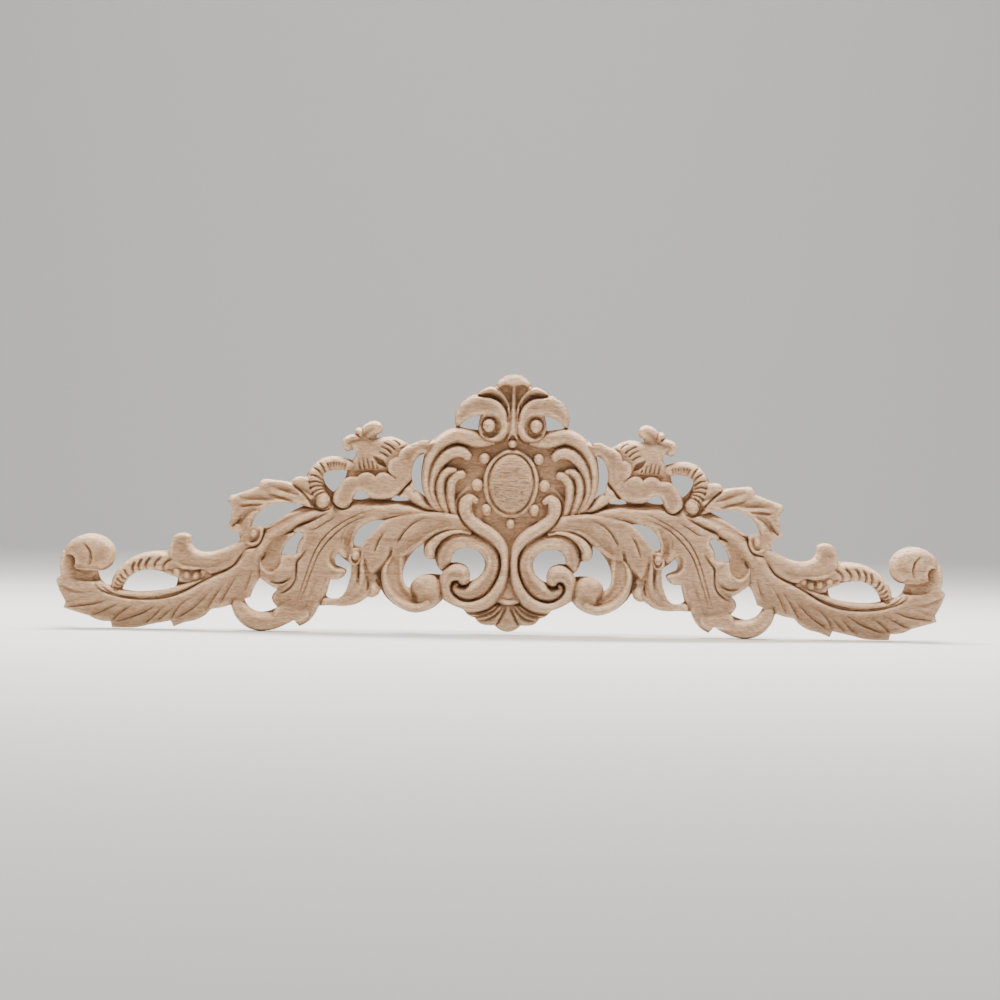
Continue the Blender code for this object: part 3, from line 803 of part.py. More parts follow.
def calyx(r):
    """The flower beside the cartouche: its petals, its folded collar and its neck."""
    r.roll((48, -18.6, 1.4, 10.5), (54.4, -16.6, 2.8, 12.6), (60.4, -12.8, 4, 14), (66.4, -8, 4.2, 14),
           (70, -4.6, 4.6, 13.6), foot=5)
    r.plate([(64, -4.6), (66, 1.8), (70, 0), (76.4, -8.6), (75, -10), (68, -11.4)], [(68, -4, 13),
                                                                                     (74, -8, 11.4),
                                                                                     (66, 0, 11.4)],
            1.4, 1.6, blend=1)
    top_edge = [(68, 14), (68, 25.3, 0), (72.6, 28.2), (80, 31.2), (86, 31), (90.8, 30), (98, 33)]
    low_edge = [(104.4, 23), (104.4, 17.6), (106.4, 14.2), (108.4, 8), (109, 2), (96, -6), (78, -6),
                (68, 2)]
    r.plate(top_edge + low_edge, [(74, 19, 14), (77, 26, 15), (83, 28.4, 15), (88, 24, 16.4),
                                  (86, 18, 16), (94, 18, 17), (94, 12, 15.6), (100, 22, 15.5),
                                  (102, 14, 14.6), (94, 28, 14), (104, 8, 13), (84, 8, 14),
                                  (94, 7, 13.6)], 3, 4)
    r.bevel((68, 25.3, 3, 3), (72.6, 28.2, 4.6, 5), (80, 31, 5.6, 6), (86, 30.8, 5, 5),
            (91, 29.8, 2.4, 3))
    for a, b, c in (((74.2, 24), (77, 27), (80.8, 28.3)), ((77.3, 21.2), (81.2, 24.6), (86.6, 26.6)),
                    ((79.8, 18.8), (83.2, 22), (88, 24)), ((82.4, 16.8), (85.2, 19), (89.4, 20.6))):
        r.vein((*a, 1.5), (*b, 2.4), (*c, 0.5), left=1.8, right=0.9)
    r.sink((84, 10.6, 0.1, 12.4), (86.2, 12.8, 1, 11), (88.4, 14.4, 0.8, 11.2), (91, 16.6, 0.1, 13.4),
           wall=3)
    r.vein((82, 8.4, 0.6), (88, 7.4, 1.1), (95, 7.4, 1.1), (101, 7, 1), (106, 6, 0.5), left=1.6, right=1)
    for x, low, high in ((89.7, 9.4, 12.2), (92.5, 9.2, 14.2), (95.5, 9, 15.8), (98.5, 8.6, 15.8),
                         (101.4, 8.4, 14)):
        r.vein((x - 0.8, low - 0.6, 1.4), (x, (low + high) / 2, 1.9), (x + 0.9, high + 0.8, 0.3), left=1.2,
               right=0.8)
    inner_neck = [(65.4, 9), (64.6, 14), (62.6, 18.2), (60, 20.6), (57.4, 20), (55, 14)]
    hook_end = [(48, 18), (47, 25), (51, 28.6), (54.5, 29.4)]
    neck_top = [(60, 29.6), (64, 27.8), (68.4, 25.6), (72.4, 23), (75, 19.6)]
    first_curl = [(75.8, 16.6, 0), (78, 16.4), (80.8, 14.6), (82.2, 11.4), (81.8, 7.6), (79.6, 4.6)]
    middle_lobes = [(77.2, 2.8, 0), (80.4, 5), (84.6, 6.1), (88.2, 5.4), (90.5, 3.1, 0), (94, 5.6),
                    (98, 5.6), (100.8, 4.2)]
    tail = [(102, 2.7, 0), (106, 2.6), (109.6, 1.8), (112.2, -1), (114.8, -5), (117, -9.4),
            (117.4, -13), (115.4, -16.2), (111.6, -17.7)]
    belly = [(108, -16.6), (105.8, -13.2), (103.6, -8), (100.4, -6.2), (97, -7.4), (94, -10.2),
             (88, -11.5), (82, -10.9), (76.4, -9), (70.6, -3.4), (66.4, 2)]
    neck_heights = [(50, 24, 14), (55, 22, 14.6), (58, 25, 15.6), (64, 23.6, 15.6), (70, 20.4, 16),
                    (66.6, 14, 12.6), (70.6, 8, 15), (75, 14, 16.8), (79.4, 11.4, 17.6), (75, 3, 16.4),
                    (84, -3, 17.2)]
    leaf_heights = [(85, 3, 18), (96, 2.4, 17.8), (98, -3, 17), (106, -1, 17.4), (111, -6, 17),
                    (112, -13, 17.4), (107, -12, 14.6), (80, -8, 15), (90, -9, 15.6), (68, 0, 12),
                    (72, -3, 14)]
    r.plate(inner_neck + hook_end + neck_top + first_curl + middle_lobes + tail + belly,
            neck_heights + leaf_heights, 1.2, 1.4)
    r.bevel((51, 29, 3, 3), (55.5, 29.4, 4, 5), (60, 29.6, 5, 6), (64, 27.8, 5, 6),
            (68.4, 25.6, 4.4, 5), (72.4, 23, 3, 3))
    r.bevel((62.6, 18.2, 2, 1), (65, 13, 4.4, 3), (66, 8, 6, 4), (66.4, 2, 5, 4), (70.6, -3.6, 2.4, 3),
            (76.4, -9, 2.4, 3), (82, -10.9, 2.6, 3.4), (88, -11.5, 2.6, 3.4), (94, -10.2, 2, 3))
    r.vein((66.2, 2, 1.2), (70, -2.6, 2), (75.3, -8.4, 1.6), left=1, right=1.2)
    r.vein((105.6, -14.4, 1), (107.4, -17.4, 3), (111.4, -18.8, 3.4), (115, -17.4, 3.4),
           (117.4, -14.4, 3), left=0.8, right=1.2)


def crown(r):
    """The curled tips on top of the flower."""
    r.plate([(89, 26), (90.8, 31), (93, 34), (99, 34), (103, 30), (107, 27), (104, 21), (96, 20)],
            [(93, 29, 12.6), (98, 25, 14.4), (102, 27, 14)], 1, 1)
    r.roll((96.6, 30.8, 4.4, 13.4), (93.6, 34.4, 4.6, 15), (90.8, 36.8, 4, 16), foot=5, blend=2.2)
    r.roll((88.6, 37.6, 2.4, 16), (92, 38.4, 3, 17), (96, 37.2, 3, 16.6), (99.6, 34.4, 2.4, 15.6),
           (101.6, 31.6, 1.6, 14.6), foot=6, blend=2.2)
    r.roll((100.6, 32, 2.4, 14.6), (102.3, 34, 2.8, 16), foot=5, blend=2.2)
    r.roll((100.6, 26.6, 3.6, 13.6), (106, 26.8, 3.6, 14.6), (108.7, 25, 4, 15.4), foot=5, blend=2.2)
    r.roll((102.4, 30, 2, 15), (106.4, 29.6, 2.4, 16.4), (110, 27.6, 2.8, 16.6), (111, 24.4, 2.4, 15.6),
           foot=6, blend=2.2)
    r.vein((100.4, 36.2, 1.4), (99.4, 33.6, 1.6), (99.4, 31, 0.6), left=1, right=1)
    r.vein((104.9, 32, 1.4), (103, 31, 1.4), (101.6, 29.8, 0.6), left=1, right=1)


def ribbed_ring(r):
    """The ring beside the flower, with ribs across it and a bead at its foot."""
    rows = [(104, 10.2, 2.6, 13), (109.6, 11.3, 4.6, 14), (115, 12.3, 5, 14.6), (121, 11.9, 5.2, 14.6),
            (126.6, 8.8, 5.4, 14.8), (130.2, 3, 5.6, 14.8), (130.2, -3.6, 5.2, 14.8),
            (127.4, -9.6, 4.8, 14.6), (124.4, -13, 4.4, 14)]
    r.roll(*rows, foot=5, section=section(0.92, 0.97, 1, 0.97, 0.84))
    ribs(r, rows[:5], (0.3, 0.385, 0.47, 0.555, 0.64, 0.725, 0.8), (-1, 0.25), 1.9, 0, 0.95)
    ribs(r, rows, (0.47, 0.545, 0.62, 0.69, 0.755, 0.815, 0.87), (-0.95, 0.84), 2.7, 1.8, 1.1)
    r.sink((118.9, -9.4, 0.3, 8), (119.3, -13, 0.5, 7.6), (119.8, -17, 0.4, 9), wall=8)
    r.dome(125.1, -14, 4.9, 5.3, 17, 7, power=0.45)
    r.vein((118.6, -15.6, 2), (120.6, -18.8, 3), (125, -20, 3), (129.6, -18.8, 2.6), (134, -18.2, 2.6),
           (139, -17.4, 2.4), left=0.9, right=1)


def fan(r):
    """The pleated fan at the foot, with a small shell over it."""
    r.plate([(-8, -84), (8, -82), (20, -84), (29.8, -85, 0), (27, -88.8), (22, -91, 0), (18.5, -94.7),
             (13, -95.9), (8.8, -95.8, 0), (5.2, -98.8), (0, -100.4), (-8, -98)], [(0, -84, 12),
                                                                                   (0, -96, 10.5),
                                                                                   (12, -92, 10),
                                                                                   (22, -88, 9),
                                                                                   (28, -86, 8)], 2.6,
            3)
    r.sink((10, -81, 0.8, 8), (15, -84.6, 1.2, 7.4), (21, -86.6, 1.4, 7), (27, -87, 1.2, 7), wall=1.8)
    r.vein((1.2, -81.6, 1), (3.4, -87, 2.2), (5.8, -92, 2.4), (8, -96, 2), left=0.9, right=2.4)
    r.vein((3, -81.4, 1), (7.4, -87.6, 2.2), (13, -91.4, 2.4), (20, -92.6, 1.6), left=0.9, right=2.4)
    r.vein((5, -80.6, 1), (10, -85.8, 2.2), (17, -89, 2.4), (25, -90, 1.4), left=0.9, right=2.2)
    r.plate([(-9, -68), (9, -68), (8.4, -76), (7, -79.6), (3.6, -81.2), (0, -81.7), (-3.6, -81.2),
             (-7, -79.6), (-8.4, -76)], [(0, -70, 10.4), (0, -75, 11.4), (0, -79.4, 13),
                                         (-6, -78, 12.6), (6, -78, 12.6)], 1.2, 1.6)
    r.vein((-5, -76.4, 0.5), (-2.6, -78, 1.4), (0, -78.4, 1.6), (2.6, -78, 1.4), (5, -76.4, 0.5),
           left=1.6, right=0.7)


def wing_rest(r):
    """The deep line between the branch and leaf below it."""
    r.vein((119, -20.4, 0.8), (125, -23.2, 2), (130, -26, 2.8), (136, -28.6, 3.2), (141, -30.4, 2.8),
           (144.4, -31.6, 1.2), left=1.6, right=1.2)


def half(r):
    """Every form of one half, the lowest first."""
    ground(r)
    fan(r)
    crest(r)
    under_leaf(r)
    stem(r)
    long_leaf(r)
    open_loop(r)
    cupped_leaf(r)
    wing_rest(r)
    upper_leaf(r)
    end_leaf(r)
    knob_band(r)
    small_volute(r)
    horn(r)
    end_bulb(r)
    inner_leaf(r)
    second_scroll(r)
    calyx(r)
    crown(r)
    ribbed_ring(r)
    cartouche(r)
    fingers(r)
    drop_lobe(r)
    s_scroll(r)
    volutes(r)
    cabochon(r)
    r.deepen(0.34, 2.6)
    return r


def clear_scene():
    """Removes whatever the file holds."""
    for obj in list(bpy.data.objects):
        bpy.data.objects.remove(obj, do_unlink=True)


def both_halves(half_columns, xs):
    """Mirrors the half over x = 0, each hand at its own length."""
    x = np.concatenate([-xs[:0:-1] * LEFT_SCALE, xs * RIGHT_SCALE])
    return x, np.concatenate([half_columns[:, :0:-1], half_columns], axis=1)


def sawn_lines(step):
    """The outer edge and the piercings of both halves, as closed lines."""
    right = outline(OUTER, step, closed=False)
    left = right[-2:0:-1] * (-LEFT_SCALE, 1)
    lines = [np.concatenate([right * (RIGHT_SCALE, 1), left])]
    for rows in HOLES.values():
        ring = outline(rows, step)[:-1]
        lines.append(ring * (RIGHT_SCALE, 1))
        lines.append(ring * (-LEFT_SCALE, 1))
    return lines


def snap(points, lines):
    """Moves each point to the nearest place on the lines."""
    starts = np.concatenate(lines)
    runs = np.concatenate([np.roll(line, -1, axis=0) for line in lines]) - starts
    size = np.maximum((runs**2).sum(1), 1e-12)
    moved = np.empty_like(points)
    for i, point in enumerate(points):
        share = np.clip(((point - starts) * runs).sum(1) / size, 0, 1)
        feet = starts + share[:, None] * runs
        moved[i] = feet[((feet - point)**2).sum(1).argmin()]
    return moved


def drop_corner_touches(mesh):
    """Faces that meet only at one point lose one face until none do."""
    while True:
        pinched = [v for v in mesh.verts if sum(edge.is_boundary for edge in v.link_edges) > 2]
        if not pinched:
            return
        faces = {v.link_faces[0] for v in pinched}
        bmesh.ops.delete(mesh, geom=list(faces), context="FACES")


def carved_board(relief, collection):
    """The pierced relief as one closed solid, lying on its back: x right, y up, z out."""
    xs, height = both_halves(relief.top, relief.xs)
    bpy.ops.mesh.primitive_grid_add(x_subdivisions=len(xs) - 1, y_subdivisions=len(relief.zs) - 1, size=2)
    board = bpy.context.object
    x, z = np.meshgrid(xs, relief.zs)
    points = np.stack([x, z, height], axis=-1).reshape(-1, 3)
    lines = sawn_lines(1.2)
    middle_x, middle_z = np.meshgrid((xs[1:] + xs[:-1]) / 2, (relief.zs[1:] + relief.zs[:-1]) / 2)
    wood = inside(lines[0], middle_x, middle_z)
    for line in lines[1:]:
        wood &= ~inside(line, middle_x, middle_z)
    mesh = bmesh.new()
    mesh.from_mesh(board.data)
    mesh.faces.ensure_lookup_table()
    for vertex, point in zip(mesh.verts, points):
        vertex.co = point
    waste = [face for face, keep in zip(mesh.faces, wood.ravel()) if not keep]
    bmesh.ops.delete(mesh, geom=waste, context="FACES")
    drop_corner_touches(mesh)
    border = [vertex for vertex in mesh.verts if vertex.is_boundary]
    for vertex, place in zip(border, snap(np.array([v.co.xy for v in border]), lines)):
        vertex.co.xy = place
    back = bmesh.ops.extrude_face_region(mesh, geom=mesh.faces[:], use_keep_orig=True)["geom"]
    for vertex in (item for item in back if isinstance(item, bmesh.types.BMVert)):
        vertex.co.z = 0
    for vertex in mesh.verts:
        vertex.co = ((vertex.co.x + vertex.co.y * LEAN) * MM, vertex.co.y * MM, vertex.co.z * MM)
    bmesh.ops.recalc_face_normals(mesh, faces=mesh.faces)
    mesh.to_mesh(board.data)
    mesh.free()
    for owner in list(board.users_collection):
        owner.objects.unlink(board)
    collection.objects.link(board)
    return board


def wood():
    """Bare wood, matt."""
    material = bpy.data.materials.new("bare_wood")
    material.use_nodes = True
    shader = material.node_tree.nodes["Principled BSDF"]
    shader.inputs["Base Color"].default_value = WOOD
    shader.inputs["Roughness"].default_value = 0.7
    shader.inputs["Metallic"].default_value = 0.0
    return material


def main():
    """Carves the applique, stands it up and merges its flattest faces."""
    clear_scene()
    part = bpy.data.collections.new("carved_applique")
    bpy.context.scene.collection.children.link(part)
    applique = carved_board(half(Relief(*REACH, PITCH)), part)
    applique.name = NAME
    applique.data.materials.append(wood())
    applique.rotation_euler.x = math.pi / 2
    coarse = applique.modifiers.new("coarser", "DECIMATE")
    coarse.ratio = TRIANGLES / sum(len(face.vertices) - 2 for face in applique.data.polygons)
    applique.data.shade_smooth()


main()
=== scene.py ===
"""Carved wood applique in bare wood, made from its own carving sizes and shown on a pale wall.

Lengths in the drawing of the carving are millimetres from the middle of the cabochon: x to the
right, z up, and heights out from the flat back. The finished mesh is in metres, front facing -Y.
"""

import bpy
import numpy as np
from mathutils import Matrix, Vector


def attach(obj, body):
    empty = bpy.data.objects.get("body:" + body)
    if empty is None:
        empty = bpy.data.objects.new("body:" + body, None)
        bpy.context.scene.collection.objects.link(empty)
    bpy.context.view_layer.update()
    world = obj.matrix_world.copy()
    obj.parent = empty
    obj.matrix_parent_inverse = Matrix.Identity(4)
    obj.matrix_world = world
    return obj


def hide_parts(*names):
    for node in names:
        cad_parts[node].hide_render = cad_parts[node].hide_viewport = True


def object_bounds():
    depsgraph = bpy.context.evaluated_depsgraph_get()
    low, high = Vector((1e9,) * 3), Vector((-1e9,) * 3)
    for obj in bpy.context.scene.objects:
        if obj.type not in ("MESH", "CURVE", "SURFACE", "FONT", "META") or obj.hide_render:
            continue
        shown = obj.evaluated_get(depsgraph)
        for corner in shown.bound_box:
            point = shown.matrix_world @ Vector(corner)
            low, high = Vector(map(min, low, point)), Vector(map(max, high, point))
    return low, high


bl_info = {
    "name": "Carved wood applique",
    "version": (1, 0, 0),
    "blender": (4, 5, 0),
    "location": "3D View > Sidebar > Applique",
    "description": "A pierced relief of scrolls and leaves in bare wood, with its floor, lights and camera",
    "category": "Object",
}

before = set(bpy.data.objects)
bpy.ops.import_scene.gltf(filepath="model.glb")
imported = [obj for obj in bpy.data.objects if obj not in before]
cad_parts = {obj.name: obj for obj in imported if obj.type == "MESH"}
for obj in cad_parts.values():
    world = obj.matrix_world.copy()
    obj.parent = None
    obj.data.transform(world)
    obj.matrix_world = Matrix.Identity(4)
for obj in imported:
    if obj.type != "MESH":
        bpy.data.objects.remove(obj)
CAD_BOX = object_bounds()
MM = 0.001
GROUND = 5.0                     # thinnest wood between the forms, mm
WALL = 7.0                       # how steeply a form's side falls, mm down per mm out
EASE = 1.35                      # how much further in than drawn a blade's edge starts to round over
REACH = (0, -105, 306, 78)       # half board: lowest x and z, highest x and z, mm
RIGHT_SCALE = 0.982              # the right half is a little shorter than the left
LEFT_SCALE = 1.018
LEAN = 0.0105                    # the middle leans this much to the right going up
SHEET_GIVE = 30                  # how loosely a blade's sheet follows its spots
SAW_STEP = 0.6                   # spacing of the points along the sawn lines, mm
FRONT_FROM = 0.2                 # a point further out from the back than this is on the carved side, mm
SHARP_ANGLE = 55                 # faces that meet at more than this keep a sharp edge, degrees

# The outer edge of the right half, from its top clockwise, in mm from the middle of the cabochon.
# A row is (x, z) where the line runs smoothly, and (x, z, 0) at a corner.
CREST_EDGE = [(0, 74.2), (6, 73), (10, 69.8), (12, 66.6, 0), (18, 65.2), (24.8, 60.5, 0), (31, 57.8),
              (36, 53), (38.7, 46), (37.9, 38.1, 0)]
FRAME_EDGE = [(46, 35), (54.5, 28.2, 0), (60, 28.8), (64, 27.2), (68, 25.3, 0)]
FLOWER_EDGE = [(73, 28.3), (80, 30.9), (86, 30.6), (90.8, 29.8, 0)]
CROWN_EDGE = [(90.6, 32), (87.7, 33.6), (86.8, 37), (89, 40.6), (93, 41.6), (97, 39.6), (100.5, 36.4, 0),
              (103, 37), (105.2, 34.8), (105, 32.1, 0), (109, 31.6), (112.8, 28), (112.6, 23),
              (110.3, 20.6), (107, 21.6), (104, 22.6, 0), (104, 18), (106, 14.4, 0)]
RING_EDGE = [(112, 16.3), (120, 17.1), (127, 15.4), (132.5, 10.6), (136.2, 5), (137, 2.3, 0)]
WING_EDGE = [(141, 3), (144.5, 1.4), (146.2, -1.2, 0), (151, -0.4), (158, 0.4), (165.5, 0.4),
             (168, -4.2, 0), (175, -6.9), (182, -9.3), (186.5, -10.7), (188.2, -13.5), (184.8, -18.6, 0),
             (186, -23.5), (186, -27.2, 0), (187.8, -31.8), (185.5, -34.2), (181.6, -34.6, 0)]
KNOB_EDGE = [(179, -41, 0), (186, -44.8), (195, -48.3), (203, -49.3), (209, -47.6), (212.2, -43),
             (212.4, -38.6), (217, -36.6), (222, -38.2), (225, -43.5), (225.3, -49, 0)]
HORN_EDGE = [(232, -48.9), (241, -49.8), (250, -53), (258, -59.3), (263, -66.5), (265.2, -72.6, 0)]
BALL_EDGE = [(269, -72), (272.7, -68), (274.5, -63.1, 0), (269, -62.2), (264.5, -58.3), (262.7, -52),
             (264, -46), (269.5, -40.5), (278.5, -37.9), (287, -40.4), (294, -46), (297.4, -53),
             (298.3, -60), (297.5, -66.6, 0)]
END_TIPS = [(300.3, -69.8), (299, -75), (296.5, -80.5), (294.6, -84.2, 0), (295.9, -88.6, 0),
            (289, -90.7), (278.6, -93.6, 0), (272, -96.6), (264.2, -97.3, 0)]
MIDDLE_TIPS = [(263.2, -101.3, 0), (253, -101.4), (246, -100.9), (238, -99), (224, -96.1, 0)]
NEAR_TIPS = [(222.3, -100.2, 0), (215, -97.2), (207, -95.2), (201.5, -91.8), (198, -88.3), (191, -86.8),
             (184.6, -84.8, 0)]
LOOP_EDGE = [(182.3, -91.3), (177.3, -97.4), (171, -100.9), (164.5, -102.1), (156, -101), (148, -97.7),
             (141.8, -94.2, 0)]
LEAF_EDGE = [(138.8, -98.6, 0), (133.5, -95.8), (129.3, -91), (126.3, -84.6, 0), (118, -83.9),
             (109, -84.3)]
ROOT_EDGE = [(101, -82.7), (93.4, -77.9, 0), (90.5, -78.2), (87.4, -76.8), (85.2, -72.3, 0)]
SCROLL_EDGE = [(82, -77.4), (75.5, -83.3), (68, -87), (61.8, -88.2), (54, -86.6), (48, -83.3),
               (43.6, -78.7, 0)]
FAN_EDGE = [(37, -82.3), (29.8, -85.1, 0), (27, -88.8), (22, -91, 0), (18.5, -94.7), (13, -95.9),
            (8.8, -95.8, 0), (5.2, -98.8), (0, -100.2)]
OUTER = (CREST_EDGE + FRAME_EDGE + FLOWER_EDGE + CROWN_EDGE + RING_EDGE + WING_EDGE + KNOB_EDGE
         + HORN_EDGE + BALL_EDGE + END_TIPS + MIDDLE_TIPS + NEAR_TIPS + LOOP_EDGE + LEAF_EDGE
         + ROOT_EDGE + SCROLL_EDGE + FAN_EDGE)

# The openings of the right half, by the same rule.
HOLES = {
    "crest": [(21.8, 46.4, 0), (28, 45), (33, 41.8), (35.8, 38.9, 0), (33, 37.8), (23.2, 36.6, 0),
              (22.9, 41.5)],
    "frame": [(58.4, 20, 0), (62.8, 17.5), (65.8, 12), (66.8, 5.5), (66, 1.2, 0), (64.8, -4.4, 0),
              (60.5, -6.8), (56.8, -9.8, 0), (59.6, -3), (60.4, 6), (59.6, 14)],
    "slot": [(68.7, -10.5, 0), (73, -10.1), (75.6, -9, 0), (78.5, -9.9), (80, -11.8, 0), (76, -12.4),
             (68, -11.9, 0)],
    "arch": [(94.2, -10.6, 0), (97, -7.6), (100.6, -6.1), (103.4, -7.8), (105.6, -11.6, 0),
             (100, -11.9)],
    "ring": [(109.7, 7.4, 0), (116, 7.9), (121.6, 7), (125.3, 4.6), (125.6, 2.4), (123, -3),
             (118.7, -7, 0), (114.5, -3.5), (111.3, 2)],
    "wing": [(137.8, -16.6, 0), (145, -15.6), (153, -15.6), (160, -17.2), (166.5, -21), (170.5, -25.8),
             (173, -31.3, 0), (168.5, -30.8), (163.6, -32.4, 0), (155.5, -27.2), (146, -20.9)],
    "notch": [(136.9, -36.1, 0), (140.9, -34.6, 0), (145.8, -38.3), (150, -44), (152.3, -50.2, 0),
              (147, -49.8), (142.4, -49.6, 0), (140.8, -42.2)],
    "slant": [(83.6, -25.8, 0), (90, -26.1), (96.5, -28.7), (101, -32.6), (103.8, -38), (104.1, -42.2),
              (101.6, -43.8), (98.9, -42.9), (93, -36.2)],
    "hook": [(114.3, -48.6, 0), (116.4, -52), (115.6, -56.3), (111.8, -58), (108.6, -60.2),
             (110.2, -64.3), (113.8, -66.3), (119.1, -66.4, 0), (120.2, -71.5), (121.7, -77.6, 0),
             (118.5, -79.4), (113.5, -79.2), (109.3, -75.6), (106.6, -68.6), (105.1, -61),
             (105.3, -55.6, 0), (110, -52.8)],
    "comma": [(57.2, -41, 0), (62.5, -45.2), (67.5, -51.4), (70.3, -58.6), (70.7, -64.5), (69.3, -68.8),
              (65.8, -71.6, 0), (64.7, -67.8), (61, -64.2), (55.5, -61.9), (45, -62.1, 0),
              (44.2, -60, 0), (47.2, -57.2), (49.6, -51.5, 0), (53.2, -51.7), (56.5, -49.8),
              (57.4, -46)],
    "volute": [(38.9, -53.8, 0), (33.5, -53.7), (28.6, -55.9), (26.2, -60.4), (26.1, -66.4, 0),
               (21, -63.6), (17.4, -59.4), (16.3, -54.6), (18, -49.4), (22.4, -45.5), (28.6, -43.9),
               (34.6, -45.2), (38.1, -49)],
    "fork": [(153.8, -73.9, 0), (160, -70.2), (165.8, -65.8, 0), (169.4, -71.8), (172.3, -79.6, 0),
             (176.3, -80.9, 0), (173, -85.8), (169, -88.3), (164.6, -89.3), (159, -88.2),
             (153.6, -85.8, 0), (157.3, -80.6), (156.6, -76.8)],
    "horn": [(220.6, -67.4, 0), (227, -64.4), (235, -62.4), (243.5, -62.2), (250.5, -65), (255.3, -70),
             (257.7, -75.5, 0), (249, -76.6), (238, -76.3), (229, -75.1), (221.8, -73.3, 0)],
}


def spline(rows, step=0.7):
    """A smooth curve through the rows, read every step mm; a row's first two numbers are its place.

    Each stretch is a cubic, and its slope at a row mixes the two chords that meet there.
    """
    p = np.asarray(rows, float)
    gap = np.maximum(np.hypot(*np.diff(p[:, :2], axis=0).T), 1e-6)
    count = max(2, int(np.ceil(gap.sum() / step)) + 1)
    if len(p) == 2:
        return p[0] + np.linspace(0, 1, count)[:, None] * (p[1] - p[0])
    gap = np.sqrt(gap)
    knot = np.concatenate([[0], np.cumsum(gap)])
    slope = np.diff(p, axis=0) / gap[:, None]
    bend = np.empty_like(p)
    share = (gap[:-1] / (gap[:-1] + gap[1:]))[:, None]
    bend[1:-1] = slope[:-1] * (1 - share) + slope[1:] * share
    bend[0] = 1.5 * slope[0] - 0.5 * bend[1]
    bend[-1] = 1.5 * slope[-1] - 0.5 * bend[-2]
    at = np.linspace(0, knot[-1], count)
    i = np.clip(np.searchsorted(knot, at, side="right") - 1, 0, len(gap) - 1)
    t = ((at - knot[i]) / gap[i])[:, None]
    g = gap[i][:, None]
    return ((2 * t**3 - 3 * t**2 + 1) * p[i] + (t**3 - 2 * t**2 + t) * g * bend[i]
            + (3 * t**2 - 2 * t**3) * p[i + 1] + (t**3 - t**2) * g * bend[i + 1])


def outline(rows, step=0.8, closed=True):
    """A line through the rows: smooth at each (x, z), with a corner at each (x, z, 0)."""
    rows = list(rows)
    if closed:
        first = next((i for i, r in enumerate(rows) if len(r) == 3), 0)
        rows = rows[first:] + rows[:first + 1]
    cuts = [i for i, r in enumerate(rows) if len(r) == 3]
    if not cuts or cuts[0] != 0:
        cuts = [0] + cuts
    if cuts[-1] != len(rows) - 1:
        cuts.append(len(rows) - 1)
    pieces = [spline([r[:2] for r in rows[a:b + 1]], step)[:-1] for a, b in zip(cuts, cuts[1:])]
    if not closed:
        pieces.append(np.array([rows[-1][:2]]))
    return np.concatenate(pieces)


def nearest(path, x, z):
    """For each point: the distance to the path's closest straight piece, which side it is on, how far
    along that is from 0 to 1, and the path's other columns there."""
    a, b = path[:-1], path[1:]
    ab = b[:, :2] - a[:, :2]
    size = np.maximum((ab**2).sum(1), 1e-12)
    best = np.full(x.shape, 1e18)
    seg = np.zeros(x.shape, np.int32)
    share = np.zeros(x.shape)
    for i in range(len(ab)):
        px, pz = x - a[i, 0], z - a[i, 1]
        t = np.clip((px * ab[i, 0] + pz * ab[i, 1]) / size[i], 0, 1)
        d = (px - t * ab[i, 0])**2 + (pz - t * ab[i, 1])**2
        better = d < best
        best = np.where(better, d, best)
        seg = np.where(better, i, seg)
        share = np.where(better, t, share)
    px, pz = x - a[seg, 0], z - a[seg, 1]
    side = np.sign(ab[seg, 0] * pz - ab[seg, 1] * px)
    along = (seg + share) / len(ab)
    more = [a[seg, k] + share * (b[seg, k] - a[seg, k]) for k in range(2, path.shape[1])]
    return np.sqrt(best), side, along, more


def inside(path, x, z):
    """True where a point lies within the closed path, by counting crossings."""
    odd = np.zeros(x.shape, bool)
    nxt = np.roll(path, -1, axis=0)
    for (ax, az), (bx, bz) in zip(path[:, :2], nxt[:, :2]):
        if az == bz:
            continue
        cross = ((az > z) != (bz > z)) & (x < (bx - ax) * (z - az) / (bz - az) + ax)
        odd ^= cross
    return odd


def signed(path, x, z):
    """Distance to the closed path, negative within."""
    ring = np.concatenate([path[:, :2], path[:1, :2]])
    d, _, _, _ = nearest(ring, x, z)
    return np.where(inside(path, x, z), -d, d)


def soft(u, *levels):
    """Levels set evenly from u = -1 to 1, joined by smooth steps, 3 t squared less 2 t cubed."""
    v = np.asarray(levels, float)
    at = np.clip((u + 1) / 2, 0, 1) * (len(v) - 1)
    i = np.minimum(at.astype(int), len(v) - 2)
    t = at - i
    t = t * t * (3 - 2 * t)
    return v[i] + (v[i + 1] - v[i]) * t


def round_top(u):
    """The section of a half round, for u from -1 to 1."""
    return np.sqrt(np.clip(1 - u * u, 0, 1))


def stretched(spots, x, z):
    """Heights of a thin sheet bent to pass near the spots (x, z, height).

    A tilted plane, and for each spot a share of q log q, where q is the squared distance to it.
    """
    s = np.asarray(spots, float)
    mid = s[:, :2].mean(0)
    s = s - (*mid, 0)
    x, z = x - mid[0], z - mid[1]

    def pull(dx, dz):
        q = dx * dx + dz * dz
        return q * np.log(q + 1e-6)

    count = len(s)
    push = pull(s[:, None, 0] - s[:, 0], s[:, None, 1] - s[:, 1]) + np.eye(count) * SHEET_GIVE
    plane = np.column_stack([np.ones(count), s[:, :2] * 0.1])
    full = np.block([[push, plane], [plane.T, np.zeros((3, 3))]])
    share = np.linalg.lstsq(full, np.append(s[:, 2], [0, 0, 0]), rcond=1e-9)[0]
    body = share[count] + 0.1 * (share[count + 1] * x + share[count + 2] * z)
    for (sx, sz, _), k in zip(s, share):
        body += k * pull(x - sx, z - sz)
    return np.clip(body, s[:, 2].min() - 0.5, s[:, 2].max() + 0.5)


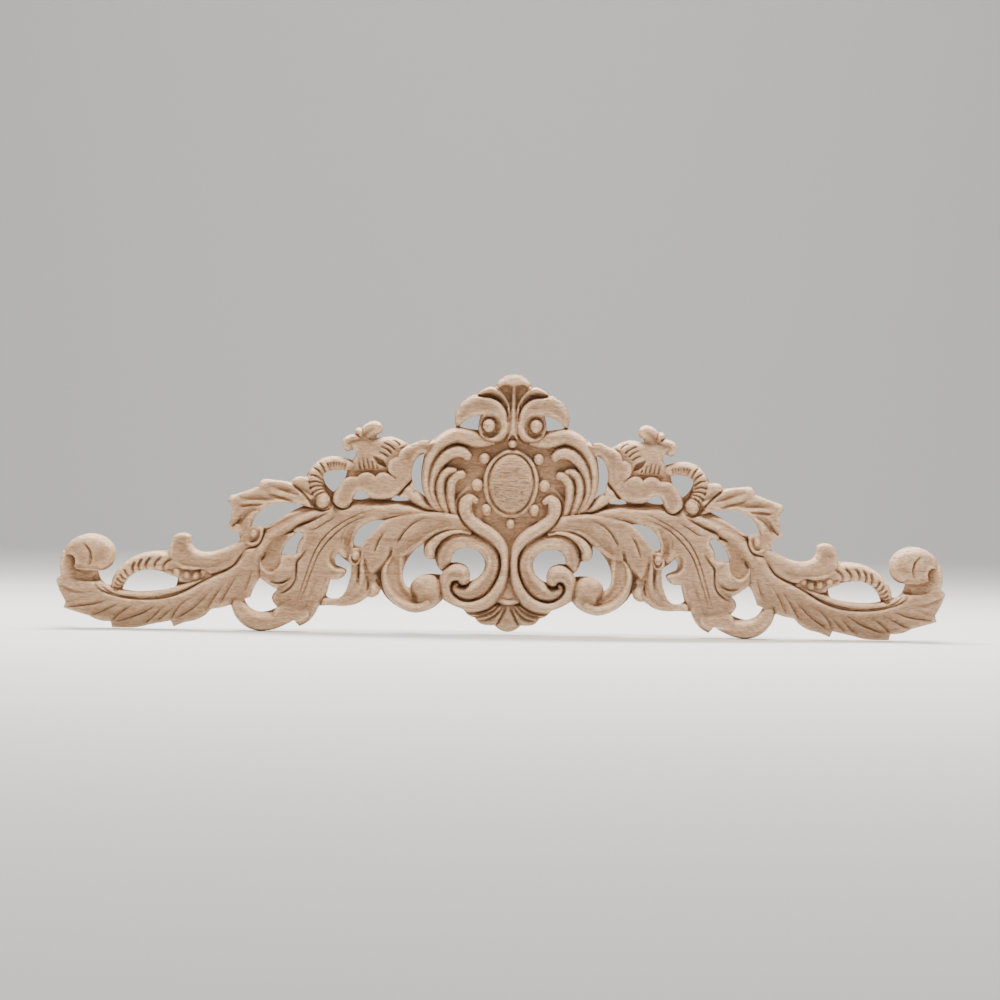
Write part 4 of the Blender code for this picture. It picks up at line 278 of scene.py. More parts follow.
def blurred(grid, reach):
    """A running mean along both sides of the grid, three times over, reaching that many cells."""
    size = 2 * max(1, round(reach)) + 1
    for _ in range(6):
        grid = grid.T
        total = np.pad(grid, ((size // 2 + 1, size // 2), (0, 0)), mode="edge").cumsum(0)
        grid = (total[size:] - total[:-size]) / size
    return grid


class Relief:
    """Heights over one half of the board, on a grid of the given pitch."""

    def __init__(self, x0, z0, x1, z1, pitch):
        self.pitch, self.x0, self.z0 = pitch, x0, z0
        self.xs = np.arange(x0, x1 + pitch / 2, pitch)
        self.zs = np.arange(z0, z1 + pitch / 2, pitch)
        self.x, self.z = np.meshgrid(self.xs, self.zs)
        self.top = np.full(self.x.shape, GROUND)

    def window(self, path, margin):
        """The part of the grid within the margin of the path."""
        lo, hi = path[:, :2].min(0) - margin, path[:, :2].max(0) + margin
        i0 = int(np.clip((lo[0] - self.x0) / self.pitch, 0, len(self.xs) - 1))
        i1 = int(np.clip((hi[0] - self.x0) / self.pitch + 2, 1, len(self.xs)))
        k0 = int(np.clip((lo[1] - self.z0) / self.pitch, 0, len(self.zs) - 1))
        k1 = int(np.clip((hi[1] - self.z0) / self.pitch + 2, 1, len(self.zs)))
        return np.s_[k0:k1, i0:i1]

    def raise_to(self, at, height, blend=0.0):
        """Adds a form: the higher of the two stands. Within blend mm of each other the crease is filled,
        by the gap squared over four times blend."""
        old = self.top[at]
        gap = np.maximum(blend - np.abs(old - height), 0)
        self.top[at] = np.maximum(old, height) + (gap * gap / (4 * blend) if blend else 0)

    def roll(self, *rows, foot=5.0, section=round_top, blend=0.0):
        """A rounded band. Rows are x, z, half width, crest height.

        Height is foot plus the rest of the crest times section(distance / half width), and beyond
        the half width it falls off steeply.
        """
        path = spline(rows)
        at = self.window(path, path[:, 2].max() + 2)
        d, side, _, (w, h) = nearest(path, self.x[at], self.z[at])
        w = np.maximum(w, 0.05)
        u = side * d / w
        f = np.minimum(foot, h)
        body = f + (h - f) * section(u)
        self.raise_to(at, np.where(d <= w, body, body - (d - w) * WALL), blend)

    def dome(self, x, z, rx, rz, height, foot=5.0, turn=0.0, power=0.5, blend=0.0):
        """A bead or ball on an ellipse: it rises from foot by 1 less u squared, to the given power."""
        at = self.window(np.array([[x, z]]), max(rx, rz) + 2)
        c, s = np.cos(np.radians(turn)), np.sin(np.radians(turn))
        px, pz = self.x[at] - x, self.z[at] - z
        u = np.hypot((px * c + pz * s) / rx, (pz * c - px * s) / rz)
        body = foot + (height - foot) * np.clip(1 - u * u, 0, 1)**power
        self.raise_to(at, body - np.maximum(u - 1, 0) * min(rx, rz) * WALL, blend)

    def plate(self, rows, spots, round_over=2.0, drop=1.5, blend=0.0):
        """A leaf blade: an outline, and heights at spots that its sheet passes near.

        Towards its edge it drops along a quarter of an ellipse, drop mm deep.
        """
        path = outline(rows)
        at = self.window(path, 2)
        d = signed(path, self.x[at], self.z[at])
        t = np.clip(1 + d / (EASE * round_over), 0, 1)
        body = stretched(spots, self.x[at], self.z[at]) - drop * (1 - np.sqrt(1 - t * t))
        self.raise_to(at, body - np.maximum(d, 0) * WALL, blend)

    def groove(self, *rows, sharp=1.0):
        """A cut along a line: depth times 1 less distance / half width, to the power sharp.

        Rows are x, z, half width, depth; it runs out at both ends.
        """
        path = spline(rows)
        at = self.window(path, path[:, 2].max() + 1)
        d, _, along, (w, h) = nearest(path, self.x[at], self.z[at])
        u = np.clip(d / np.maximum(w, 0.05), 0, 1)
        ends = np.clip(np.minimum(along, 1 - along) * 8, 0, 1)
        self.top[at] -= h * (1 - u)**sharp * ends

    def scoop(self, *rows):
        """A smooth hollow along a line: depth times the square of 1 less u squared.

        Rows are x, z, half width, depth, and u is distance / half width.
        """
        path = spline(rows)
        at = self.window(path, path[:, 2].max() + 1)
        d, _, _, (w, h) = nearest(path, self.x[at], self.z[at])
        u = np.clip(d / np.maximum(w, 0.05), 0, 1)
        self.top[at] -= h * (1 - u * u)**2

    def sink(self, *rows, wall=3.0):
        """Cuts down to a floor, with sides that rise wall mm per mm. Rows are x, z, half width, floor."""
        path = spline(rows) if len(rows) > 1 else np.array(rows, float)
        if len(path) == 1:
            path = np.concatenate([path, path + [0.01, 0, 0, 0]])
        at = self.window(path, path[:, 2].max() + 6)
        d, _, _, (w, h) = nearest(path, self.x[at], self.z[at])
        self.top[at] = np.minimum(self.top[at], h + np.maximum(d - w, 0) * wall)

    def vein(self, *rows, left=1.0, right=1.0):
        """A cut whose two sides rise over unlike widths, so one lobe lies over the next.

        Rows are x, z, depth; left and right are the reach to each side of the line's run, in mm.
        """
        path = spline(rows)
        at = self.window(path, max(left, right) + 1)
        d, side, along, (h,) = nearest(path, self.x[at], self.z[at])
        u = np.clip(d / np.where(side > 0, left, right), 0, 1)
        ends = np.clip(np.minimum(along, 1 - along) * 6, 0, 1)
        self.top[at] -= h * (1 - u)**1.7 * ends

    def bevel(self, *rows):
        """Rounds an edge off along a quarter of an ellipse. Rows along the edge: x, z, width, drop."""
        path = spline(rows)
        at = self.window(path, path[:, 2].max() + 1)
        d, _, _, (w, h) = nearest(path, self.x[at], self.z[at])
        t = np.clip(1 - d / np.maximum(w, 0.05), 0, 1)
        self.top[at] -= h * (1 - np.sqrt(1 - t * t))

    def deepen(self, share, reach):
        """Every form stands further out from what lies within reach mm of it, by that share."""
        highest = self.top.max()
        stands = self.top - blurred(self.top, reach / self.pitch)
        self.top = np.clip(self.top + share * stands, GROUND - 1, highest)


def cushion(u):
    """The section of a form with full, steep shoulders, for u from -1 to 1."""
    return np.clip(1 - np.abs(u)**3, 0, 1)**0.5


def section(*levels):
    """A section that stands at each level in turn, from one side to the other."""
    return lambda u: soft(u, *levels) * cushion(u)


def ground(r):
    """The low board that carries the middle, cut out beside the cartouche and under the branches."""
    r.plate([(0, 40), (30, 33), (50, 22), (56, 0), (45, -25), (20, -32), (5, -50), (6, -80), (0, -84),
             (-10, -84), (-10, 40)], [(0, 0, 7), (30, 0, 7), (0, -50, 8.5)], 1)
    r.plate([(8, -84), (30, -84), (60, -76), (86, -70), (96, -70), (96, -30), (60, -26), (20, -34)],
            [(50, -50, 6)], 1)


def crest(r):
    """The knob on top, its two thin stalks, and the horn that curls under into an eye with a pearl."""
    r.plate([(-4, 75), (6, 74), (11, 69), (12, 66), (9, 58), (3, 46), (-4, 46)],
            [(0, 72, 16), (2, 52, 10)], 1, 1)
    r.sink((5.2, 64.6, 3.2, 9.6), (4.2, 61, 2.2, 9.2), (3, 56.6, 0.7, 9), wall=2.2)
    r.sink((2.6, 64, 1.2, 8.6), (2.4, 60, 0.8, 8.6), wall=2.4)
    r.plate([(-6, 76), (0, 76), (7, 74), (12, 68), (11, 63.8), (9.4, 65.8), (6.4, 67.6), (3, 67.4),
             (0, 66.4), (-3, 67.4), (-6, 67.6)], [(0, 70, 17.5), (8, 69, 16)], 1.2, 1.4)
    r.bevel((-6, 73.6, 5, 6), (0, 74.4, 5, 6), (6, 73, 4.6, 6), (10, 69.8, 3, 5), (12, 66.2, 2, 4))
    r.roll((0, 69, 1.5, 15.5), (0, 56, 1.7, 14.5), (0, 45, 2.6, 14.5), (0, 37, 4, 14.5),
           (0, 32.6, 4.4, 13), blend=1)
    r.roll((3.4, 36, 2.6, 13), (2.8, 44, 1.6, 13), (3.6, 51.6, 1.6, 13.8), (6.6, 57.4, 2.1, 15),
           (10.4, 61.2, 2.6, 16), (15, 63.2, 2.8, 16), (20, 61.8, 2.6, 16), (25, 58.6, 2, 15), foot=7)
    r.bevel((9.6, 65.4, 1.6, 3), (12.4, 66.8, 2.6, 4), (18, 65.2, 2.8, 5), (25, 60.4, 2.6, 5))
    r.sink((5, 52, 0.4, 10.6), (8.6, 56.6, 0.8, 9.4), (12, 58.8, 1.1, 9), (17, 59.8, 0.9, 9),
           (22, 58.9, 0.5, 10), wall=2.2)
    inner_edge = [(3.6, 37), (3.9, 44), (5.6, 50), (9.4, 54.8), (14.6, 57.4), (20.6, 58)]
    back = [(24.6, 58.4), (26, 61, 0), (32, 58.6), (37, 53.6), (39.6, 46)]
    under_edge = [(38.8, 38.3, 0), (36, 39.3), (31, 43.4), (26, 46), (20, 47, 0)]
    eye = [(21.4, 42), (22.6, 36.6), (21.6, 32.2), (17.6, 29.4), (12, 28.8), (7, 30.4), (4.6, 33)]
    r.plate(inner_edge + back + under_edge + eye,
            [(6, 45, 15.8), (14, 53, 16.6), (26, 53, 17.4), (34, 50, 16.6), (36.6, 42, 14), (7, 35, 15.4),
             (14, 31, 14.6), (20, 32, 14)], 1, 1.4)
    r.bevel((22, 59.6, 1, 2), (25, 60.4, 4, 6), (31, 57.8, 4.6, 7), (36, 53, 4.4, 7), (38.7, 46, 3.2, 6),
            (38, 40, 2, 4))
    r.bevel((4, 42, 2, 3), (5.4, 49.6, 2.2, 3), (9.4, 54.8, 2.2, 3.4), (14.6, 57.4, 2, 3),
            (20.6, 58, 1.4, 2))
    r.bevel((4.4, 33.4, 2.4, 4), (7, 30.4, 2.4, 4), (12, 28.8, 2.4, 4), (17.6, 29.4, 2.4, 4),
            (21.6, 32.2, 1.6, 3), (22.4, 36, 1, 2))
    r.sink((15.8, 39.6, 4.9, 10.4), wall=1.6)
    r.sink((12.6, 38, 1.8, 10), (14.4, 35.4, 2.6, 9.6), (17.6, 34.8, 1.4, 10), wall=1.5)
    r.scoop((8.6, 45, 2.6, 0.4), (8, 38, 3, 1), (12, 32.4, 2, 0.5))
    r.dome(16, 39.8, 4.5, 4.9, 16.4, 10, power=0.42)
    r.sink((0, 31.6, 0.9, 7), (0, 30.4, 2.2, 7), wall=4)


def cabochon(r):
    """The oval boss in its rim, with a ring groove, and the pearls set around it."""
    r.dome(0, 0.3, 18.9, 23.2, 13, 8, power=0.22)
    turns = np.linspace(-0.2, np.pi + 0.2, 15)
    r.groove(*[(15.4 * np.sin(a), 0.4 + 20 * np.cos(a), 1.2, 2.1) for a in turns], sharp=0.8)
    r.dome(0, 0.5, 14.8, 19.5, 17.6, 11.2, power=0.5)
    for x, z, rx, rz, h in ((0, 27.4, 2.9, 2.9, 12.6), (18.4, 17.2, 3.6, 3.6, 13.4),
                            (22.7, -1, 3.9, 4.1, 13.4), (16.2, -17.5, 3.5, 4.1, 13),
                            (0, -26.5, 3.1, 3.7, 12.6)):
        r.dome(x, z, rx, rz, h, 8, power=0.45, blend=0.6)


def fingers(r):
    """Three finger curls that fan out inside the cartouche."""
    r.sink((31, 3, 2, 7.2), (33.4, -1, 3, 6.4), (35.6, -6, 2.6, 6.2), (37, -11, 1.4, 7), wall=1.6)
    full = section(0.86, 0.95, 1, 1, 0.95, 0.86)
    r.roll((33.4, 6.2, 3.3, 13), (37, 5, 3.8, 13.4), (40, 1, 3.8, 13.4), (40.7, -5, 3.7, 13),
           (40.3, -12, 3.5, 12.6), (38, -20, 2.6, 12), (36.6, -23, 2, 11), section=full, foot=6.4)
    r.roll((38.2, 8.8, 2.2, 13), (42, 8.4, 3.4, 14.4), (45.5, 5.6, 3.6, 14.8), (47.3, 0.6, 3.6, 14.8),
           (47.5, -5, 3.6, 14.4), (46.2, -12, 3.4, 14), (43, -19.6, 2.6, 12.6), section=full, foot=6.4)
    r.roll((29.8, 18.8, 3.3, 14), (32.4, 21, 4.1, 15), (37, 21.9, 4.6, 15.6), (42.6, 20, 4.8, 16),
           (47.4, 15.4, 4.7, 16), (51, 8.4, 4, 16), (52.8, 1.4, 3, 15.4), (53.2, -5, 2.6, 15),
           (51.2, -11.6, 2.6, 14), (46.8, -18.8, 2, 12.8), section=full, foot=6.4)


def cartouche(r):
    """The broad band that frames the middle, from the crest down to the waist."""
    full = section(0.86, 0.92, 1, 1, 0.97, 0.88, 0.72)
    r.roll((13, 28, 1.6, 10), (18, 28.6, 3.8, 12.4), (23.6, 30, 5.7, 14), (30, 31.6, 6.2, 15.6),
           (37, 32.8, 6, 16.6), (43.6, 30.2, 5.7, 17), (49.6, 25, 5, 17), (53.8, 18, 4.2, 17),
           (56.2, 10, 3.4, 16.6), (57, 3, 3, 16), (56.5, -4, 2.8, 15.6), (54, -11, 2.6, 14.6),
           (50, -16.8, 2.2, 13.4), (46, -20, 1.4, 11.6), section=full, foot=6)
    r.bevel((37.9, 38.4, 3.6, 4), (46, 35, 4.6, 6), (51.4, 31, 3.6, 5), (55.4, 27, 2, 2))


def s_scroll(r):
    """The long scroll from beside the cabochon to the foot, which ends in a rolled ball."""
    r.sink((22.6, -15.4, 2.4, 7.2), (21, -18.6, 2, 7.8), wall=1.4)
    r.roll((27, -2.6, 1.8, 7.2), (33, -7, 2.2, 8.2), (36.4, -12.4, 1.8, 8.6), (36.4, -19, 1.6, 8.8),
           blend=1)
    r.roll((23.6, -11.6, 2.3, 14), (26.2, -10.8, 3.9, 16), (29.4, -13.2, 5.1, 16.6), (30, -19, 5.2, 16.6),
           (27.2, -24.6, 5, 16.6), (21.5, -29.2, 5, 16.2), (14.4, -33.8, 5.2, 16), (8, -39.4, 4.9, 16),
           (4.2, -46, 3.8, 15.6), (3, -54, 3.2, 15.6), (3.6, -62, 3.5, 15.6), (6.8, -71, 4.6, 16),
           (12.6, -78.4, 5, 16), (19.8, -82.3, 4.6, 16), (28, -83, 3.9, 16), (35, -80.8, 4.2, 16),
           (40.4, -76, 4.6, 16.6), (42.4, -69.5, 4.5, 17.2), (40.6, -63.4, 5.4, 18.2),
           (36, -60.6, 6.3, 19), (32.4, -61.4, 6.6, 19), (30, -64.6, 4.6, 17.6),
           section=section(0.8, 0.88, 0.95, 0.96, 0.95, 0.97, 0.9), foot=6)
    r.groove((25.6, -8.6, 0.5, 0.4), (29.4, -9.4, 0.9, 1), (32.4, -13, 1, 1.2), (32.9, -18, 1, 0.8),
             (30.8, -24, 0.8, 0.5))


def volutes(r):
    """The thick curl around the round opening, and the line that parts it from the scroll."""
    r.roll((44.6, -56.6, 3, 11.6), (43, -52, 5.4, 13), (42, -45.4, 6.4, 14), (37, -39.9, 5.8, 14.6),
           (29.5, -38.8, 5.4, 15), (21.4, -40.2, 5.4, 15), (14.4, -44.4, 5.8, 15), (11, -51, 5.6, 15),
           (11.2, -58, 5.7, 15), (14.6, -65.4, 6, 15), (20.8, -71.8, 6.4, 15.4), (27.6, -74.8, 4.9, 16),
           (33.2, -73.8, 3.9, 16), (36, -70.8, 2.5, 15.6), (35, -68.4, 1.6, 14),
           section=section(0.86, 0.84, 0.86, 0.9, 0.96, 1, 0.96), foot=4.5)
    r.sink((32, -69.4, 0.8, 12), (29, -69.2, 0.7, 11.4), (26.4, -67.4, 0.4, 10.6), wall=3)
    r.vein((31.4, -66.4, 0.6), (34.2, -65.8, 1.4), (37.4, -67.2, 1.6), (38.5, -70.6, 1.6),
           (36.6, -74.8, 1.6), (32.2, -78.2, 1.6), (26.6, -79.4, 1.8), (20, -78, 2.2), (14, -74.2, 2.3),
           (9.8, -68, 2.3), (7.2, -60.5, 2.3), (6.1, -54, 2.3), (6.7, -48.5, 2.3), (10, -42.6, 2.3),
           (15.8, -37.3, 2.3), (24, -32.4, 2.5), (30, -27.4, 2.5), (34, -22, 2.5), (34.8, -15, 2.4),
           (34, -10, 0.6), left=1.5, right=1.5)


def drop_lobe(r):
    """The narrow leaf that hangs over the thick curl."""
    r.roll((27, -33.6, 1.6, 13), (33, -32.6, 2, 13.6), (39, -33.4, 2.6, 14), (45.4, -36.4, 3.3, 14.6),
           (50.4, -40.6, 3.9, 15), (52.8, -45, 4, 15), (52.8, -47.8, 3.9, 15),
           section=section(0.86, 0.95, 1, 1, 0.95, 0.9), foot=6)
    r.vein((22.6, -36.8, 1), (28.4, -34.7, 3), (34, -34.4, 4.2), (40, -35.8, 4.6), (44.4, -38.8, 4.6),
           (47.8, -43.6, 4.6), (49.2, -49, 4), (48.8, -52.6, 2.6), left=1.2, right=2.2)


def second_scroll(r):
    """The scroll beside the foot: its band, its raised outer edge and its ball."""
    r.roll((74, -45, 4, 11), (75.6, -52, 6, 12.4), (76.6, -60, 7, 12.8), (75.8, -67, 7.6, 13),
           (72, -73.6, 7.2, 13), (66.6, -78, 6, 12.6), (62.6, -78.6, 4.2, 12),
           section=section(1, 0.97, 0.9, 0.84, 0.86, 0.96, 1), foot=5, blend=2.5)
    r.roll((78, -50, 1.4, 12), (81.6, -56, 2.6, 13.6), (82.6, -63, 3, 14.6), (80.6, -71, 3.2, 15.2),
           (75.8, -78, 3.4, 16), (69, -82.6, 3.6, 17), (61, -84.4, 4, 18), (54, -81, 5, 19), foot=5,
           section=section(0.84, 0.95, 1, 1, 0.9, 0.8), blend=1.5)
    r.scoop((74.6, -53, 2.4, 0.6), (74.4, -60, 3.6, 1.6), (74, -68, 3.6, 1.6), (70, -74, 3, 1),
            (66, -77, 2, 0.3))
    r.dome(54.4, -73.4, 10.6, 12.2, 19.8, 6, turn=-10, power=0.46, blend=1)
    r.dome(58.4, -68.6, 6.8, 6.2, 18.6, 6, turn=-30, power=0.46, blend=2)
    r.scoop((63.6, -73.6, 1.6, 1), (62, -76.6, 2.4, 4.4), (61.2, -78.6, 1.8, 2.4))
    r.bevel((43.6, -78.7, 2, 3), (48, -83.3, 3, 4), (54, -86.6, 3, 4.4), (61.8, -88.2, 2.6, 4),
            (68, -87, 2.4, 3), (75.5, -83.3, 2, 3), (82, -77.4, 1.6, 2.4))


def stem(r):
    """The branch that runs out from the middle and forks above the long leaf."""
    r.roll((46, -22.6, 1.8, 11), (56, -21, 3, 13.5), (66, -19.6, 5, 14.8), (78, -19.4, 6.4, 15.4),
           (92, -20, 7.2, 15.8), (105, -20.6, 7.6, 15.8), (117, -21.6, 6.6, 15.6), (126, -22.6, 5, 15),
           section=section(0.93, 0.98, 1, 1, 0.97, 0.84, 0.66), foot=5, blend=1)
    r.roll((122, -18.6, 4, 11), (134, -20.6, 3.4, 11.5), (142, -22.6, 3.6, 12), (152, -27.6, 4, 12.5),
           (160, -33, 4.4, 13), foot=6)
    r.roll((118, -19, 3, 13.6), (127, -21.4, 3.2, 15.2), (136, -24.6, 4, 15.8), (144.6, -28.6, 4.8, 15.8),
           (153, -33.6, 5.4, 15.6), (160.6, -39.6, 5.6, 15), (166.4, -47, 5.6, 14.6),
           (171.6, -56, 6, 13.8), (176, -66, 7, 12.4),
           section=section(0.84, 0.9, 0.96, 1, 0.95, 0.86, 0.78), foot=5, blend=1.5)


def inner_leaf(r):
    """The broad leaf next to the middle, with its folds."""
    along_scroll = [(26, -31), (30, -27), (34.4, -22, 0), (45, -20.2), (57, -19.9), (75, -23)]
    outer_lobe = [(84, -26), (92, -33), (99.2, -42), (100.6, -45.6), (98.8, -49.6), (96.2, -53),
                  (95, -57.4), (93.6, -61.4), (91, -62.8)]
    tip_lobe = [(88, -61), (84, -57.8), (81, -54.4), (79.2, -50)]
    lower_edge = [(77, -50.6), (73.6, -51), (69.6, -49.4), (64.6, -46), (57.4, -41), (50, -36),
                  (42, -32.8), (33, -32), (27, -34)]
    upper_heights = [(30, -29, 12.6), (38, -25, 14.6), (48, -22, 15.4), (60, -22.6, 16), (72, -26, 16.2),
                     (82, -30, 16), (90, -37, 15.4), (96, -45, 14), (60, -31, 15.4), (52, -33, 13),
                     (46, -29, 14)]
    lower_heights = [(62, -38, 12.6), (66, -43, 11.6), (70, -36, 14.6), (74, -44, 13.4), (75, -49, 12),
                     (80, -40, 15), (86, -48, 15), (84, -54, 13.8), (90, -56, 14), (91, -61, 12.4)]
    r.plate(along_scroll + outer_lobe + tip_lobe + lower_edge, upper_heights + lower_heights, 1.8, 2.6)
    r.scoop((40, -28.6, 1.6, 0.4), (50, -29.8, 3, 1), (58, -33.8, 4, 1.5), (65, -39.4, 4, 1.5),
            (71, -46, 2.6, 0.6))
    r.vein((54, -23, 0.4), (60.4, -25.4, 1.2), (65.4, -28.4, 1.8), (70, -33.2, 2.1), (73, -38, 2.1),
           (75, -42.4, 1.2), left=2.2, right=0.8)
    r.vein((82.6, -33, 0.4), (85, -36.4, 1.4), (87.2, -40.6, 2), (89, -45.4, 1.8), (90.2, -50.4, 0.6),
           left=2, right=0.8)
    r.vein((78.2, -43, 0.8), (78.7, -46.4, 2.8), (79.8, -51, 2.6), (82.4, -55.4, 2.4), (86.4, -59, 2.4),
           (91, -62.6, 1.6), left=2, right=1.3)
    r.vein((38, -31, 0.5), (47, -33.4, 2.4), (54, -38.2, 2.6), (58, -42, 1.4), left=1, right=1.4)


def under_leaf(r):
    """The thin leaf below, with a bead at its root."""
    outer_side = [(94, -46), (106, -46), (106.2, -60), (108.4, -70), (113, -77), (118, -79), (124, -79.6),
                  (124, -84.6)]
    lower_side = [(112, -84.8), (101, -83), (93.4, -78), (90, -78.6), (86.4, -76), (84.6, -70), (88, -62)]
    r.plate(outer_side + lower_side,
            [(98, -50, 12), (103, -60, 11.4), (97, -68, 11), (104, -74, 11.6), (112, -81, 11.6),
             (121, -82, 11), (98, -77, 11.6), (90, -64, 10), (92.6, -68, 10.4)], 2, 2)
    r.roll((97, -44, 1.6, 14.4), (97.9, -50, 2.2, 14), (97.9, -57, 2.4, 13.2), (97.7, -64, 2.7, 12.8),
           (99, -71.6, 3.4, 12.6), (103.4, -77.6, 3.6, 12), (111, -81, 2.6, 11.4), foot=7, blend=2)
    r.roll((103, -53, 2, 12.2), (102.6, -62, 2.5, 12.6), (103.6, -70, 3, 12.2), (107.6, -76.4, 2.6, 11.4),
           foot=7, blend=2)
    r.vein((100.2, -52, 1), (100.1, -60, 2.4), (100.2, -66, 1.8), (100.8, -71, 0.4), left=1.1, right=1.1)
    r.vein((94.6, -62, 0.6), (93.8, -66, 2), (93.6, -71, 2.4), (95, -76, 0.8), left=1.2, right=1.2)
    r.roll((90.4, -66, 2, 8), (89.9, -71, 3.4, 12), (89.8, -74.6, 3.9, 13), (90.6, -76, 3.4, 12.6),
           foot=5, blend=1.5)
    r.sink((86.8, -66.4, 0.8, 7), (86, -69.6, 0.3, 7.4), wall=2.6)
    r.roll((106, -49.6, 1.3, 13.4), (105, -54.4, 1.6, 14), (101.4, -55.4, 1.5, 14),
           (99.2, -52.4, 1.3, 13.6), foot=7)
    r.dome(102.3, -50.2, 3.1, 3.6, 17.4, 8, power=0.45)


def long_leaf(r):
    """The long leaf that hangs to the lower edge, with a pair of midrib lines."""
    along_branch = [(84, -18), (100, -18), (118, -19), (130, -25), (143.4, -31.6), (144, -35)]
    far_side = [(139.4, -35), (137.6, -38), (140.4, -43), (142, -49.4), (148, -50), (152.6, -50.6),
                (154, -60), (150, -66), (155, -74), (158, -80)]
    tip = [(153.4, -86), (146, -90), (142, -94, 0), (139, -99.4, 0), (133, -96), (129, -90.8),
           (125.8, -84)]
    near_side = [(122, -76), (119, -66.2, 0), (112.6, -66.6)]
    hook = [(108.2, -61.6, 0), (112, -58.2), (115.8, -56), (116.4, -51.6), (114, -48, 0)]
    base = [(108, -51.4), (104, -47), (103.6, -39), (99, -30), (92, -26)]
    blade_heights = [(92, -21, 15), (104, -23, 15.6), (116, -24, 15.8), (128, -30, 15.6),
                     (138, -34, 14.4), (134, -42, 15), (118, -33, 15.6), (106, -32, 14), (108, -40, 12.4),
                     (108, -47, 12), (118, -46, 14.4), (121, -58, 13.4)]
    tip_heights = [(124, -70, 12.6), (130, -60, 15), (134, -72, 14.4), (131, -86, 12), (138, -97, 8.6),
                   (139, -86, 12), (146, -80, 12), (154, -84, 10), (112, -62, 11.6), (118, -63, 12.4),
                   (146, -60, 13)]
    r.plate(along_branch + far_side + tip + near_side + hook + base, blade_heights + tip_heights, 1.6,
            2.4)
    r.scoop((103.6, -31, 2.4, 0.8), (107, -37, 4, 2.2), (107.8, -44, 4, 2.4), (107.6, -49.6, 3, 1.4))
    r.vein((108.6, -31, 0.3), (111.4, -36, 1), (112.2, -41, 1), (111, -46, 0.4), left=0.8, right=2)
    r.scoop((109.8, -58.4, 1.6, 1.2), (113.6, -58.2, 2.6, 3.2), (117, -55.4, 2.8, 3.4),
            (118, -50.8, 2.4, 2.4), (116.6, -47.4, 1.6, 0.8))
    r.scoop((121, -66, 1.4, 0.5), (123, -74, 2.2, 1), (126, -82, 2, 0.4))
    r.vein((86, -18.6, 0.3), (96, -20, 0.9), (107, -25, 1.3), (113, -28.6, 1.4), (120, -34.2, 1.6),
           (125, -40.2, 1.6), (128.4, -46, 1.6), (131.4, -53, 1.4), (134.6, -63, 1.2), (138.6, -76, 1),
           (142.6, -89, 0.6), left=0.8, right=0.8)
    r.vein((88, -21.6, 0.3), (98, -23.8, 0.9), (106, -27.6, 1.4), (112, -31.8, 1.6), (117, -36.4, 1.7),
           (122, -42, 1.7), (126, -48, 1.6), (129, -55, 1.4), (132.4, -65, 1.2), (136.4, -77, 1),
           (139.4, -86, 0.4), left=0.8, right=0.8)
    r.vein((115, -24, 0.3), (120, -26.4, 1.2), (125, -29.8, 1.5), (129.4, -32.2, 1.3), (134, -33.2, 0.5),
           left=1, right=0.8)
    r.vein((132.6, -43.6, 0.6), (135.4, -47.4, 1.5), (138.4, -51.4, 2), (141, -54.4, 3),
           (141.6, -61, 2.6), (142, -67, 2.6), (144.6, -71.6, 2.6), (149, -75, 2.6), (153.6, -76.6, 1.6),
           left=1, right=1.6)
    r.vein((126, -64, 0.3), (129.6, -73, 0.9), (133, -82, 0.4), left=2, right=1)
    r.vein((132.4, -80, 0.3), (135.2, -88, 1), (137.6, -96, 0.8), left=2, right=0.8)
    r.vein((145, -80, 0.2), (149, -82.4, 0.7), (153, -84.6, 0.4), left=1.4, right=1)


def cupped_leaf(r):
    """The cupped leaf between the openings, with its turned-up rim."""
    r.plate([(143, -35), (148.8, -36), (153.6, -37.6), (158.6, -40.6), (161.6, -46), (163, -52),
             (165.6, -55), (164.4, -60), (160, -63.4), (155, -62.6), (152, -58), (151, -51), (147.6, -43),
             (144, -38.6)],
            [(146, -36.6, 14), (150, -41, 13), (155, -43, 12), (158.6, -48, 11), (154, -51, 11.4),
             (158, -57, 11), (162.6, -57, 11.6)], 1, 1.4)
    rim = [(142.4, -54), (144, -51.4), (149, -50.6), (152.2, -52), (152.4, -57.4), (155.6, -61.8),
           (159.4, -63), (163.4, -60.8), (165.6, -58)]
    underside = [(165.8, -65.4), (160.6, -69.6), (154, -73.4), (149, -72), (144.6, -68), (142.4, -61)]
    r.plate(rim + underside,
            [(146, -53, 12.6), (147, -60, 15), (151, -65, 15.4), (158, -66.6, 14.8), (163.6, -64, 13.4),
             (148, -68.6, 13.4), (154, -71.6, 12.4)], 1.6, 2)
    r.roll((150.6, -51.4, 1, 13), (151.2, -56, 1.3, 14.4), (153.6, -60.6, 1.5, 15.6),
           (157.8, -63.2, 1.6, 15.8), (162.2, -62, 1.6, 15.4), (165, -58, 1.3, 14.4),
           (165.6, -54.6, 1, 13), foot=8, blend=0.8)
    r.vein((144.4, -64.8, 0.8), (147.4, -67.4, 2.2), (151.4, -69.2, 2.8), (156, -69, 2.2),
           (159.8, -67.6, 0.8), left=2, right=0.9)
    r.vein((165.4, -54.6, 2), (166.6, -57.4, 3.4), (166.4, -63, 3), (165.6, -66.6, 2), left=1, right=1.2)


def open_loop(r):
    """The open loop at the lower edge."""
    r.plate([(133, -80), (146, -84), (154, -86.4), (156, -93), (142, -97), (133, -93)],
            [(138, -86, 11.6), (150, -88.6, 11.6), (144, -94, 12.6)], 1.4, 1.4)
    r.roll((136, -88, 3.6, 10.6), (147, -92, 5, 13), (156.4, -95.2, 6, 14), (165.4, -95.9, 6.6, 14.6),
           (173, -92.8, 6.3, 14.2), (178.6, -86.2, 5.6, 12.6), (180.6, -79, 4, 10),
           section=lambda u: cushion(u) * (0.89 - 0.11 * u), foot=3.5)


